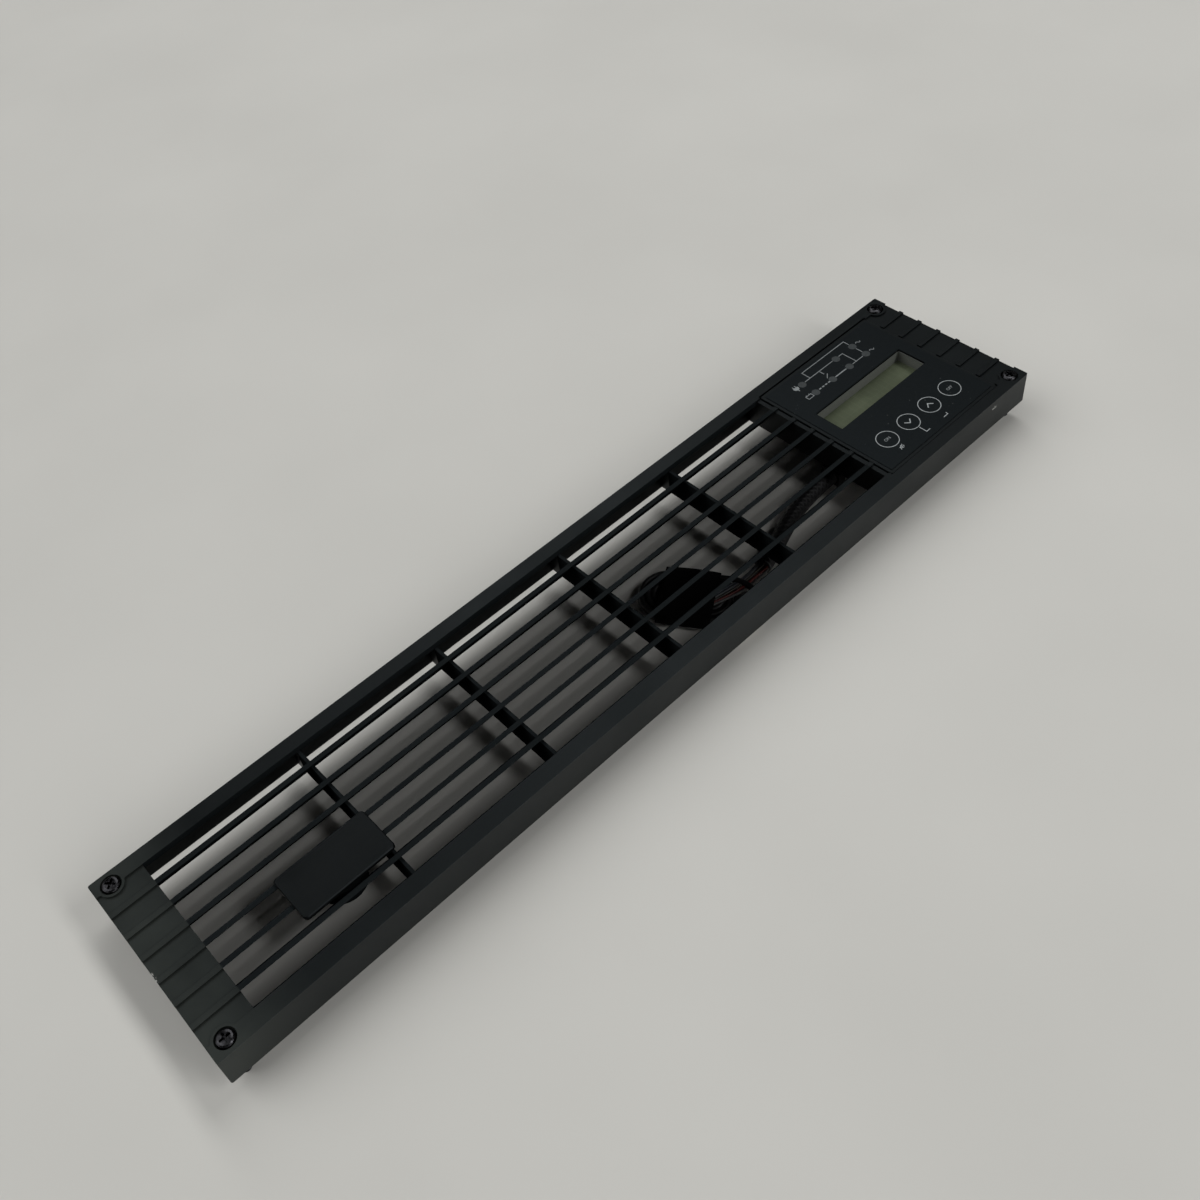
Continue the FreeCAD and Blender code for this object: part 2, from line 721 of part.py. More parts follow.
def make_display():
    """Overlay film, clear window, display frame, glass, backlight, its board and its fixings."""
    def draw_film(sketch):
        add_centred(sketch, "module_length - 2 * film_inset", "module_height - 2 * film_inset")
        add_centred(sketch, "window_length", "window_height", "0", "window_y")

    make_plate("overlay_film", "module_front_z", "module_front_z + film_thickness", draw_film)
    lens = ("window_length + 2 * (lens_lap - fit_gap)", "window_height + 2 * (lens_lap - fit_gap)",
            "0", "window_y")
    make_plate("display_window", "lens_rear_z", "module_front_z", lambda s: add_centred(s, *lens))

    glass = ("window_length + 2 * display_lap", "window_height + 2 * display_lap", "0", "window_y")
    cavity = ("window_length + 2 * (display_lap + fit_gap)", "window_height + 2 * (display_lap + fit_gap)",
              "0", "window_y")
    outside = ("window_length + 2 * (display_lap + fit_gap + frame_wall)",
               "window_height + 2 * (display_lap + fit_gap + frame_wall)", "0", "window_y")
    frame = new_body("display_frame", "module_x")
    slab(frame, "frame_rear_z", "plate_rear_z", lambda s: add_centred(s, *outside))
    cut(frame, "frame_rear_z", "glass_top_z", lambda s: add_centred(s, *cavity))
    cut(frame, "glass_top_z", "plate_rear_z",
        lambda s: add_centred(s, "window_length", "window_height", "0", "window_y"))
    keep(frame)
    make_plate("display_glass", "glass_rear_z", "glass_top_z", lambda s: add_centred(s, *glass))
    make_plate("display_backlight", "frame_rear_z", "glass_rear_z", lambda s: add_centred(s, *glass))

    length = "window_length + 2 * (display_lap + frame_wall)"
    height = "window_height + 2 * (display_lap + frame_wall + display_board_lap)"
    make_plate("display_board", "display_board_z", "frame_rear_z",
               lambda s: add_centred(s, length, height, "0", "window_y"))
    header_y = "window_y + (%s) / 2 - header_inset - header_width / 2" % height
    make_plate("display_header", "board_top_z", "display_board_z",
               lambda s: add_centred(s, "header_length", "header_width", "0", header_y))

    spacer = new_body("spacer_pattern", "module_x", "window_y")
    slab(spacer, "board_top_z", "display_board_z", lambda s: add_centred(s, "spacer_size", "spacer_size"))
    places = corner_places(length + " - 2 * spacer_inset", height + " - 2 * spacer_inset")
    keep(group("display_spacers", spacer, places))


def make_control_board():
    """Control board with its screws, chip, lamps on spacers, tactile switches and harness socket."""
    board = new_body("control_board", "module_x")
    slab(board, "board_rear_z", "board_top_z", lambda s: add_centred(s, "board_length", "board_height"))
    cut(board, "board_rear_z", "board_top_z",
        lambda s: at_corners(s, "post_spacing_x", "post_spacing_y", "board_screw_radius + fit_gap"))
    keep(board)

    screw = new_body("board_screw_pattern", "module_x")
    revolve(screw, (
        ("0", "board_rear_z - board_screw_cap"),
        ("board_screw_head", "board_rear_z - board_screw_cap"),
        ("board_screw_head", "board_rear_z"),
        ("board_screw_radius", "board_rear_z"),
        ("board_screw_radius", "board_rear_z + board_screw_length"),
        ("0", "board_rear_z + board_screw_length"),
    ))
    keep(group("board_screws", screw, corner_places("post_spacing_x", "post_spacing_y")))

    make_plate("controller_chip", "board_rear_z - chip_height", "board_rear_z",
               lambda s: add_centred(s, "chip_size", "chip_size", "chip_x", "chip_y"))

    lamp = new_body("lamp_pattern", "module_x")
    slab(lamp, "lamp_base_z", "lamp_top_z", lambda s: add_centred(s, "lamp_size", "lamp_size"))
    places = [(size(lamp_x(column)), size(level)) for column, level in LAMP_CELLS]
    keep(group("status_lamps", lamp, places))
    spacer = new_body("lamp_spacer_pattern", "module_x")
    slab(spacer, "board_top_z", "lamp_base_z", lambda s: add_centred(s, "lamp_spacer", "lamp_spacer"))
    keep(group("lamp_spacers", spacer, places))

    switch = new_body("switch_pattern", "module_x")
    slab(switch, "board_top_z", "switch_top_z", lambda s: add_centred(s, "switch_size", "switch_size"))
    cut(switch, "board_top_z + switch_floor", "switch_top_z",
        lambda s: add_centred(s, "stem_size + 2 * fit_gap", "stem_size + 2 * fit_gap"))
    key_places = [(size(key_x(index)), size("key_y")) for index in range(len(KEY_NAMES))]
    keep(group("key_switches", switch, key_places))

    socket_left = "-board_length / 2 + socket_inset"
    make_plate("harness_socket", "socket_rear_z", "socket_top_z", lambda s: add_rectangle(
        s, socket_left, socket_left + " + socket_length",
        "cable_y - socket_width / 2", "cable_y + socket_width / 2"))


def make_keys():
    """Four keys under the film: a round cap, two lugs that keep it in its hole, and a stem in its switch."""
    for index, label in enumerate(KEY_NAMES):
        key = new_body(label, "module_x + " + key_x(index), "key_y")
        lug_rear = "key_lug_z - key_lug_thickness"
        slab(key, lug_rear, "key_top_z", lambda s: add_circle(s, "0", "0", "key_radius"))
        slab(key, lug_rear, "key_lug_z",
             lambda s: add_centred(s, "2 * (key_radius + key_lug)", "key_lug_width"))
        slab(key, "stem_end_z", lug_rear, lambda s: add_centred(s, "stem_size", "stem_size"))
        keep(key)


# Route of the harness from the plug's face to the hank, chosen by hand.
CABLE_ROUTE = (
    (0.0, 0.0),
    (-22.0, 0.0),
    (-56.0, -13.0),
    (-77.2, -14.4),
)
# Part of the shorter run that each bend takes up.
RUN_SHARE = 0.45


def rounded_path(points):
    """Straight runs joined by tangent arcs as large as the runs allow."""
    edges = []
    start = points[0]
    for before, corner, after in zip(points, points[1:], points[2:]):
        into = before - corner
        out = after - corner
        half_turn = (math.pi - into.getAngle(out)) / 2
        setback = RUN_SHARE * min(into.Length, out.Length)
        radius = setback / math.tan(half_turn)
        print("cable bend radius %.1f" % radius)
        into.normalize()
        out.normalize()
        inward = (into + out).normalize()
        middle = corner + inward * (radius / math.cos(half_turn) - radius)
        enter = corner + into * setback
        leave = corner + out * setback
        edges.append(Part.LineSegment(start, enter).toShape())
        edges.append(Part.Arc(enter, middle, leave).toShape())
        start = leave
    edges.append(Part.LineSegment(start, points[-1]).toShape())
    return Part.Wire(edges)


def make_harness():
    """Plug in the module's wall, sleeved cable, tied hank of spare length and its end connector."""
    plug = new_body("harness_plug", "module_x")
    left = "cable_y - socket_width / 2"
    right = "cable_y + socket_width / 2"
    slab(plug, "socket_rear_z", "socket_top_z", lambda s: add_rectangle(
        s, "-box_length / 2 - fit_gap", "-board_length / 2 + socket_inset", left, right))
    slab(plug, "boot_lift", "cable_z + cable_radius", lambda s: add_rectangle(
        s, "-box_length / 2 - fit_gap - boot_length", "-box_length / 2 - fit_gap", left, right))
    keep(plug)

    level = size("cable_z")
    plug_x = size("boot_face_x")
    plug_y = size("cable_y")
    points = [FreeCAD.Vector(plug_x + x, plug_y + y, level) for x, y in CABLE_ROUTE]
    path = rounded_path(points)
    section = Part.Wire(Part.makeCircle(size("cable_radius"), points[0], points[1] - points[0]))
    cable = doc.addObject("Part::Feature", "harness_cable")
    cable.Label = "harness_cable"
    cable.Shape = path.makePipeShell([section], True, False)
    expected = math.pi * size("cable_radius") ** 2 * path.Length
    print("cable volume over section times length %.4f" % (cable.Shape.Volume / expected))
    keep(cable)

    hank = new_body("harness_hank", "hank_x", "hank_y", "hank_turn")
    block = slab(hank, "hank_base", "hank_base + hank_thickness",
                 lambda s: add_centred(s, "hank_length", "hank_width"))
    doc.recompute()
    top = size("hank_base + hank_thickness")
    ends = bevel_edges(hank, block, upright_edges(block, top, size("hank_thickness")), "hank_corner")
    rims = level_edges(ends, top) + level_edges(ends, size("hank_base"))
    bevel_edges(hank, ends, rims, "hank_edge")
    keep(hank)

    tie = new_body("hank_tie", "hank_x", "hank_y", "hank_turn")

    def draw_tie(sketch):
        for grow in ("tie_gap", "(tie_gap + tie_thickness)"):
            add_rectangle(sketch, "-hank_width / 2 - " + grow, "hank_width / 2 + " + grow,
                          "hank_base - " + grow, "hank_base + hank_thickness + " + grow)

    slab(tie, "-tie_width / 2", "tie_width / 2", draw_tie, "YZ_Plane")
    keep(tie)

    end = new_body("harness_connector", "hank_x", "hank_y")
    reach = "(hank_length - hank_width) / 2"
    low = "%s * sin(hank_turn * 1 deg) - hank_width / 2 - fit_gap" % reach
    slab(end, "plug_base", "plug_base + plug_height", lambda s: add_rectangle(
        s, "plug_shift - plug_length / 2", "plug_shift + plug_length / 2", low + " - plug_width", low))
    keep(end)


make_bezel()
make_corner_screws()
make_badge()
make_module_housing()
make_module_cover()
make_display()
make_control_board()
make_keys()
make_harness()
doc.recompute()

for item in doc.Objects:
    if "Invalid" in item.State or "Error" in item.State:
        raise RuntimeError("%s did not rebuild: %s" % (item.Name, item.State))
for node in SUB_PARTS:
    if node.Shape.isNull() or not node.Shape.isValid():
        raise RuntimeError("%s has no valid shape" % node.Label)

os.makedirs("parts", exist_ok=True)
for node in SUB_PARTS:
    node.Shape.exportStep("parts/%s.step" % node.Label)
    print("%-18s solids %d volume %.1f" % (node.Label, len(node.Shape.Solids), node.Shape.Volume))
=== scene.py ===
import math

import bmesh
import bpy
from mathutils import Matrix, Vector


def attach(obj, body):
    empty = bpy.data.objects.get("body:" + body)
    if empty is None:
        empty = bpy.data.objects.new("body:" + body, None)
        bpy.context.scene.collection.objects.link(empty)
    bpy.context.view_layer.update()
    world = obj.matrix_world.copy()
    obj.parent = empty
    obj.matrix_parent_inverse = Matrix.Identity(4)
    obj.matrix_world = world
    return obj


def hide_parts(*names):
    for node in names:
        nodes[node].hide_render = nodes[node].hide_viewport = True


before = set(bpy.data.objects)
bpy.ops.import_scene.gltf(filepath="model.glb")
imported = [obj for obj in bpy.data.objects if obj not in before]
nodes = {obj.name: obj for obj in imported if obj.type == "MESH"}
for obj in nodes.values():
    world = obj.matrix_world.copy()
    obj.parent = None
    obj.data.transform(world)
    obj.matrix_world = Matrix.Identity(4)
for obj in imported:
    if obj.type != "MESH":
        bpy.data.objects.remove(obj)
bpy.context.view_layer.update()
scene = bpy.context.scene
scene.view_settings.view_transform = "Standard"

MM = 0.001

# Camera at the photograph's viewing angle.
camera_data = bpy.data.cameras.new("camera")
camera_data.sensor_width = 36.0
camera_data.lens = 39.05706
camera_data.shift_y = -0.075
camera_data.clip_start, camera_data.clip_end = 0.01, 50.0
camera = bpy.data.objects.new("camera", camera_data)
camera.matrix_world = Matrix((
    (0.7242948715, 0.5432825891, -0.4245479566, -0.210684),
    (-0.6828144031, 0.4797033787, -0.5510437001, -0.269053),
    (-0.0957153589, 0.6890055855, 0.7184078738, 0.429004),
    (0.0, 0.0, 0.0, 1.0),
))
scene.collection.objects.link(camera)
scene.camera = camera


# Colours and materials.
def colour(code):
    """Linear RGBA of an sRGB hex value."""
    parts = [int(code[i:i + 2], 16) / 255 for i in (0, 2, 4)]
    return tuple(p / 12.92 if p <= 0.04045 else ((p + 0.055) / 1.055) ** 2.4 for p in parts) + (1.0,)


def add(tree, kind, inputs=None, **settings):
    """Adds a node, sets its properties, then sets or links its inputs."""
    node = tree.nodes.new(kind)
    for name, value in settings.items():
        setattr(node, name, value)
    for key, value in (inputs or {}).items():
        if isinstance(value, bpy.types.NodeSocket):
            tree.links.new(value, node.inputs[key])
        else:
            node.inputs[key].default_value = value
    return node


def start_material(name):
    material = bpy.data.materials.new(name)
    material.use_nodes = True
    material.node_tree.nodes.clear()
    return material, material.node_tree


def end_material(tree, shader):
    add(tree, "ShaderNodeOutputMaterial", {"Surface": shader.outputs[0]})


def two_tones(tree, factor, low, high, ends=(0.35, 0.65)):
    """Colour ramp between two hex colours."""
    ramp = add(tree, "ShaderNodeValToRGB", {"Fac": factor})
    ramp.color_ramp.elements[0].position, ramp.color_ramp.elements[1].position = ends
    ramp.color_ramp.elements[0].color, ramp.color_ramp.elements[1].color = colour(low), colour(high)
    return ramp.outputs["Color"]


def from_middle(tree, place, middle, size):
    """Vector from a middle, counted in a size along each axis. Both are in mm."""
    away = add(tree, "ShaderNodeVectorMath", {
        0: place, 1: tuple(c * MM for c in middle)}, operation="SUBTRACT")
    return add(tree, "ShaderNodeVectorMath", {
        0: away.outputs[0], 1: tuple(s * MM for s in size)}, operation="DIVIDE").outputs[0]


def moulded_plastic(name, low, high, grain_mm, roughness, specular, edge=None, bump=0.12, marks=(), zones=(),
                    dust=None, cast="FFFFFF"):
    """Mould-textured thermoplastic: mottled colour, fine spark-eroded grain, edges painted lighter as wear and a
    painted highlight, and nicks.
    """
    material, tree = start_material(name)
    place = add(tree, "ShaderNodeTexCoord").outputs["Object"]
    # Faint cloudy difference of tone about 25 mm across, from handling.
    clouds = add(tree, "ShaderNodeTexNoise", {"Vector": place, "Scale": 1 / (25 * MM), "Detail": 4.0})
    grain = add(tree, "ShaderNodeTexNoise", {"Vector": place, "Scale": 1 / (grain_mm * MM), "Detail": 3.0})
    mixed = add(tree, "ShaderNodeMath", {0: clouds.outputs["Fac"], 1: grain.outputs["Fac"]}, operation="ADD")
    mottle = add(tree, "ShaderNodeMath", {0: mixed.outputs[0], 1: 0.5}, operation="MULTIPLY").outputs[0]
    tone = two_tones(tree, mottle, low, high)
    polish = add(tree, "ShaderNodeMapRange", {
        "Value": clouds.outputs["Fac"], "From Min": 0.3, "From Max": 0.7,
        "To Min": roughness - 0.06, "To Max": roughness + 0.06})
    relief = add(tree, "ShaderNodeBump", {
        "Height": grain.outputs["Fac"], "Strength": bump, "Distance": 0.1 * MM})
    if edge:
        # Corners painted a little lighter, partly rubbed wear and partly a painted highlight: where the rounded
        # normal leaves the true one.
        true = add(tree, "ShaderNodeNewGeometry").outputs["Normal"]
        rounded = add(tree, "ShaderNodeBevel", {"Radius": 0.18 * MM}, samples=4)
        tree.links.new(rounded.outputs[0], relief.inputs["Normal"])
        same = add(tree, "ShaderNodeVectorMath", {0: true, 1: rounded.outputs[0]}, operation="DOT_PRODUCT")
        rub_and_highlight = add(tree, "ShaderNodeMapRange", {
            "Value": same.outputs["Value"], "From Min": 0.97, "From Max": 0.75, "To Min": 0.0, "To Max": 0.5})
        tone = add(tree, "ShaderNodeMix", {
            "Factor": rub_and_highlight.outputs[0], 6: tone, 7: colour(edge)}, data_type="RGBA").outputs[2]
    if dust:
        # Grey that lies thicker towards one end: partly dust and partly a painted sheen.
        start_x, full_x, grey = dust
        axes = add(tree, "ShaderNodeSeparateXYZ", {"Vector": place})
        dust_and_sheen_spread = add(tree, "ShaderNodeMapRange", {
            "Value": axes.outputs["X"], "From Min": start_x * MM, "From Max": full_x * MM,
            "To Min": 0.0, "To Max": 1.0})
        uneven_dust_and_sheen = add(tree, "ShaderNodeMath", {0: dust_and_sheen_spread.outputs[0], 1: clouds.outputs["Fac"]}, operation="MULTIPLY")
        tone = add(tree, "ShaderNodeMix", {
            "Factor": uneven_dust_and_sheen.outputs[0], 6: tone, 7: colour(grey)}, data_type="RGBA").outputs[2]
    shine = specular
    for middle, half_size, zone_shine, zone_tones in zones:
        # A box of the piece, by its middle and half sizes in mm, with a shine and perhaps a colour of its own.
        spread = add(tree, "ShaderNodeVectorMath", {
            0: from_middle(tree, place, middle, half_size)}, operation="ABSOLUTE")
        sides = add(tree, "ShaderNodeSeparateXYZ", {"Vector": spread.outputs[0]})
        flat = add(tree, "ShaderNodeMath", {0: sides.outputs["X"], 1: sides.outputs["Y"]}, operation="MAXIMUM")
        most = add(tree, "ShaderNodeMath", {0: flat.outputs[0], 1: sides.outputs["Z"]}, operation="MAXIMUM")
        within = add(tree, "ShaderNodeMath", {0: most.outputs[0], 1: 1.0}, operation="LESS_THAN").outputs[0]
        shine = add(tree, "ShaderNodeMapRange", {"Value": within, "To Min": shine, "To Max": zone_shine}).outputs[0]
        if zone_tones:
            tone = add(tree, "ShaderNodeMix", {
                "Factor": within, 6: tone, 7: two_tones(tree, mottle, *zone_tones)}, data_type="RGBA").outputs[2]
    for middle, reach, pale in marks:
        # A bruise: pale chips scattered within a short reach of one place.
        length = add(tree, "ShaderNodeVectorMath", {
            0: from_middle(tree, place, middle, reach)}, operation="LENGTH")
        near = add(tree, "ShaderNodeMapRange", {
            "Value": length.outputs["Value"], "From Min": 1.0, "From Max": 0.6, "To Min": 0.0, "To Max": 1.0})
        chips = add(tree, "ShaderNodeTexNoise", {"Vector": place, "Scale": 1 / (0.9 * MM), "Detail": 2.0})
        sharp = add(tree, "ShaderNodeMapRange", {
            "Value": chips.outputs["Fac"], "From Min": 0.5, "From Max": 0.56, "To Min": 0.0, "To Max": 1.0})
        both = add(tree, "ShaderNodeMath", {0: near.outputs[0], 1: sharp.outputs[0]}, operation="MULTIPLY")
        tone = add(tree, "ShaderNodeMix", {
            "Factor": both.outputs[0], 6: tone, 7: colour(pale)}, data_type="RGBA").outputs[2]
    end_material(tree, add(tree, "ShaderNodeBsdfPrincipled", {
        "Base Color": tone, "Roughness": polish.outputs[0], "Specular IOR Level": shine,
        "Specular Tint": colour(cast), "Normal": relief.outputs[0]}))
    return material


# Black ABS, injection moulded with a fine spark-eroded texture: a dull, even black whose corners catch light. The
# real grain is about 0.2 mm and too fine to show, so it is drawn at 0.7 mm. The long walls are the smoothest. The
# zones are the duller front between them, the dead matt louvres and the grey reveal of the display's window.
# The grey towards the left end is partly dust and partly a painted sheen.
bezel_abs = moulded_plastic(
    "black_spark_eroded_abs", "050606", "0A0C0C", 0.7, 0.42, 0.29, edge="181C1D", marks=(
        ((-219, -3.5, 24.0), (1.2, 3.4, 1.2), "A4A49F"),
        ((194, -44, 20.5), (2.2, 1.0, 0.9), "B9B9B4"),
    ), zones=(
        ((0, 0, 0), (300, 43.9, 60), 0.15, None),
        ((-38, 0.3, 0), (162.5, 37.12, 60), 0.0, ("131617", "1B1E1F")),
        ((165.9, 3.6, 22.6), (30.1, 7.8, 2.2), 0.3, ("727173", "7A797B")),
    ), dust=(-180, -214, "333632"), cast="E0F0F6")
# Black ABS with a smoother, satin mould face, on the badge and the keys.
badge_abs = moulded_plastic(
    "black_satin_abs", "050606", "0A0B0B", 1.0, 0.42, 0.13, edge="14181A", bump=0.08, cast="E2F0F6")
# Black nylon 66 of clips, spacers and switches: waxy, slightly warmer and duller.
black_nylon = moulded_plastic("black_nylon_66", "0D0D0D", "1A1A19", 1.4, 0.48, 0.4, bump=0.06)
# Natural nylon of the plug shells: milky off-white, soft sheen.
white_nylon = moulded_plastic("natural_nylon_66", "C9C5B6", "DEDBCF", 1.6, 0.42, 0.5, bump=0.05)
# Light grey ABS of the frame around the display.
frame_abs = moulded_plastic("grey_abs", "757476", "807F81", 0.9, 0.55, 0.4, bump=0.08)


def put(material, *names):
    """Gives CAD nodes a material."""
    for name in names:
        slots = nodes[name].data.materials
        slots.clear()
        slots.append(material)


put(bezel_abs, "bezel", "module_housing", "module_cover")
put(badge_abs, "badge_plate", "on_key", "down_key", "up_key", "off_key")
put(black_nylon, "screw_retainers", "badge_clip", "display_header", "display_spacers", "lamp_spacers",
    "controller_chip", "key_switches", "harness_plug", "hank_tie")
put(white_nylon, "harness_socket", "harness_connector")
put(frame_abs, "display_frame")


def overlay_polyester():
    """Matt polyester film, reverse printed black: flatter and a little bluer than the moulding, with fine sand."""
    material, tree = start_material("black_printed_polyester")
    place = add(tree, "ShaderNodeTexCoord").outputs["Object"]
    sand = add(tree, "ShaderNodeTexNoise", {"Vector": place, "Scale": 1 / (0.6 * MM), "Detail": 2.0})
    dust = add(tree, "ShaderNodeTexNoise", {"Vector": place, "Scale": 1 / (1.3 * MM), "Detail": 1.0})
    specks = add(tree, "ShaderNodeMapRange", {
        "Value": dust.outputs["Fac"], "From Min": 0.77, "From Max": 0.8, "To Min": 0.0, "To Max": 0.5})
    tone = two_tones(tree, sand.outputs["Fac"], "040607", "080B0C")
    dusty = add(tree, "ShaderNodeMix", {
        "Factor": specks.outputs[0], 6: tone, 7: colour("4A4C4A")}, data_type="RGBA")
    relief = add(tree, "ShaderNodeBump", {
        "Height": sand.outputs["Fac"], "Strength": 0.05, "Distance": 0.05 * MM})
    end_material(tree, add(tree, "ShaderNodeBsdfPrincipled", {
        "Base Color": dusty.outputs[2], "Roughness": 0.45, "Specular IOR Level": 0.13,
        "Specular Tint": colour("D8ECF5"), "Normal": relief.outputs[0]}))
    return material


def display_cells():
    """Reflective green display glass: two rows of sixteen faint character cells under a grey-green polariser."""
    material, tree = start_material("green_display_glass")
    place = add(tree, "ShaderNodeTexCoord").outputs["Object"]
    axes = add(tree, "ShaderNodeSeparateXYZ", {"Vector": place})
    # Cell pitch and cell size in mm, and where the first cell starts.
    masks = []
    for axis, first, pitch, cell in (("X", 137.3, 3.55, 2.95), ("Y", -2.15, 5.95, 5.55)):
        moved = add(tree, "ShaderNodeMath", {0: axes.outputs[axis], 1: first * MM}, operation="SUBTRACT")
        counted = add(tree, "ShaderNodeMath", {0: moved.outputs[0], 1: pitch * MM}, operation="DIVIDE")
        within = add(tree, "ShaderNodeMath", {0: counted.outputs[0]}, operation="FRACT")
        masks.append(add(tree, "ShaderNodeMath", {0: within.outputs[0], 1: cell / pitch}, operation="LESS_THAN"))
    cell = add(tree, "ShaderNodeMath", {0: masks[0].outputs[0], 1: masks[1].outputs[0]}, operation="MULTIPLY")
    haze = add(tree, "ShaderNodeTexNoise", {"Vector": place, "Scale": 1 / (14 * MM), "Detail": 2.0})
    ground = two_tones(tree, haze.outputs["Fac"], "5E6254", "696D5E")
    faint = add(tree, "ShaderNodeMath", {0: cell.outputs[0], 1: 0.10}, operation="MULTIPLY")
    tone = add(tree, "ShaderNodeMix", {
        "Factor": faint.outputs[0], 6: ground, 7: colour("343A2C")}, data_type="RGBA")
    end_material(tree, add(tree, "ShaderNodeBsdfPrincipled", {
        "Base Color": tone.outputs[2], "Roughness": 0.4, "Specular IOR Level": 0.15}))
    return material


def clear_acrylic():
    """Clear acrylic plate: lets the display show, with a thin reflection on its face."""
    material, tree = start_material("clear_acrylic")
    place = add(tree, "ShaderNodeTexCoord").outputs["Object"]
    wipe = add(tree, "ShaderNodeTexNoise", {"Vector": place, "Scale": 1 / (6 * MM), "Detail": 3.0})
    rough = add(tree, "ShaderNodeMapRange", {
        "Value": wipe.outputs["Fac"], "From Min": 0.3, "From Max": 0.7, "To Min": 0.08, "To Max": 0.16})
    clear = add(tree, "ShaderNodeBsdfTransparent", {"Color": colour("F4F6F2")})
    shine = add(tree, "ShaderNodeBsdfGlossy", {"Color": colour("FFFFFF"), "Roughness": rough.outputs[0]})
    rim = add(tree, "ShaderNodeFresnel", {"IOR": 1.49})
    inside = add(tree, "ShaderNodeNewGeometry").outputs["Backfacing"]
    outer = add(tree, "ShaderNodeMath", {0: 1.0, 1: inside}, operation="SUBTRACT")
    face = add(tree, "ShaderNodeMath", {0: rim.outputs[0], 1: outer.outputs[0]}, operation="MULTIPLY")
    # The plate's face is lightly etched against glare, so that only part of the reflection is left.
    gloss = add(tree, "ShaderNodeMath", {0: face.outputs[0], 1: 0.3}, operation="MULTIPLY")
    end_material(tree, add(tree, "ShaderNodeMixShader", {
        0: gloss.outputs[0], 1: clear.outputs[0], 2: shine.outputs[0]}))
    return material


def circuit_laminate():
    """Glass-epoxy board under green solder mask: weave shows faintly, copper runs lighter."""
    material, tree = start_material("green_glass_epoxy")
    place = add(tree, "ShaderNodeTexCoord").outputs["Object"]
    weave = add(tree, "ShaderNodeTexChecker", {"Vector": place, "Scale": 1 / (0.9 * MM)})
    runs = add(tree, "ShaderNodeTexBrick", {
        "Vector": place, "Color1": colour("1F5A38"), "Color2": colour("245F3C"), "Mortar": colour("3B8055"),
        "Scale": 1 / (6 * MM), "Mortar Size": 0.05})
    tone = add(tree, "ShaderNodeMix", {
        "Factor": 0.06, 6: runs.outputs["Color"], 7: weave.outputs["Color"]}, data_type="RGBA")
    end_material(tree, add(tree, "ShaderNodeBsdfPrincipled", {
        "Base Color": tone.outputs[2], "Roughness": 0.35}))
    return material


def screw_steel(name, low, high, roughness):
    """Plated or blackened carbon steel: a fine, slightly uneven plating."""
    material, tree = start_material(name)
    place = add(tree, "ShaderNodeTexCoord").outputs["Object"]
    plating = add(tree, "ShaderNodeTexNoise", {"Vector": place, "Scale": 1 / (0.8 * MM), "Detail": 4.0})
    tone = two_tones(tree, plating.outputs["Fac"], low, high)
    polish = add(tree, "ShaderNodeMapRange", {
        "Value": plating.outputs["Fac"], "From Min": 0.3, "From Max": 0.7,
        "To Min": roughness - 0.08, "To Max": roughness + 0.08})
    end_material(tree, add(tree, "ShaderNodeBsdfPrincipled", {
        "Base Color": tone, "Metallic": 1.0, "Roughness": polish.outputs[0]}))
    return material


def lamp_lens():
    """Water-clear epoxy lamp, unlit: pale grey, glossy, cloudy inside."""
    material, tree = start_material("diffused_epoxy_lamp")
    place = add(tree, "ShaderNodeTexCoord").outputs["Object"]
    cloud = add(tree, "ShaderNodeTexNoise", {"Vector": place, "Scale": 1 / (1.5 * MM)})
    tone = two_tones(tree, cloud.outputs["Fac"], "B4B8B6", "C6CAC8")
    end_material(tree, add(tree, "ShaderNodeBsdfPrincipled", {
        "Base Color": tone, "Roughness": 0.18, "Subsurface Weight": 0.2}))
    return material


def ink(name, low, high):
    """Screen-printed ink on the film: flat, slightly uneven cover."""
    material, tree = start_material(name)
    place = add(tree, "ShaderNodeTexCoord").outputs["Object"]
    cover = add(tree, "ShaderNodeTexNoise", {"Vector": place, "Scale": 1 / (0.8 * MM), "Detail": 2.0})
    tone = two_tones(tree, cover.outputs["Fac"], low, high)
    end_material(tree, add(tree, "ShaderNodeBsdfPrincipled", {
        "Base Color": tone, "Roughness": 0.5, "Specular IOR Level": 0.35}))
    return material


film = overlay_polyester()
put(film, "overlay_film")
put(display_cells(), "display_glass")
put(clear_acrylic(), "display_window")
put(circuit_laminate(), "display_board", "control_board")
put(screw_steel("zinc_plated_steel", "9A9B9C", "B9BABB", 0.3), "board_screws")
put(lamp_lens(), "status_lamps")
put(ink("white_diffuser_acrylic", "D5D8D2", "E2E5DF"), "display_backlight")
pale_ink = ink("pale_grey_ink", "8A8F90", "A0A5A6")
dim_ink = ink("mid_grey_ink", "6F7475", "858A8B")
lamp_ink = ink("smoked_lamp_print", "24292A", "2E3334")


# Pieces made here.
def finished(name, mesh, material, body):
    """Links a finished mesh as a piece that rides on a body."""
    piece = bpy.data.objects.new(name, mesh)
    scene.collection.objects.link(piece)
    if material:
        mesh.materials.clear()
        mesh.materials.append(material)
    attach(piece, body)
    return piece


# Wire harness: one black cable that leaves the plug, runs under a sleeve and ends in a strapped hank. Sizes in mm.
CABLE_MM = 2.7
SLEEVE_RADIUS = 3.8
SLEEVE_END_X = 64.0
HEM_RADIUS = 3.9
CABLE_ROUTE = (
    (124.7, -7.0, 4.4),
    (102.7, -7.0, 4.4),
    (68.7, -20.0, 4.4),
    (47.5, -22.4, 3.2),
)
HANK_CENTRE = (30.0, -9.0)
HANK_TURN = math.radians(-57.0)
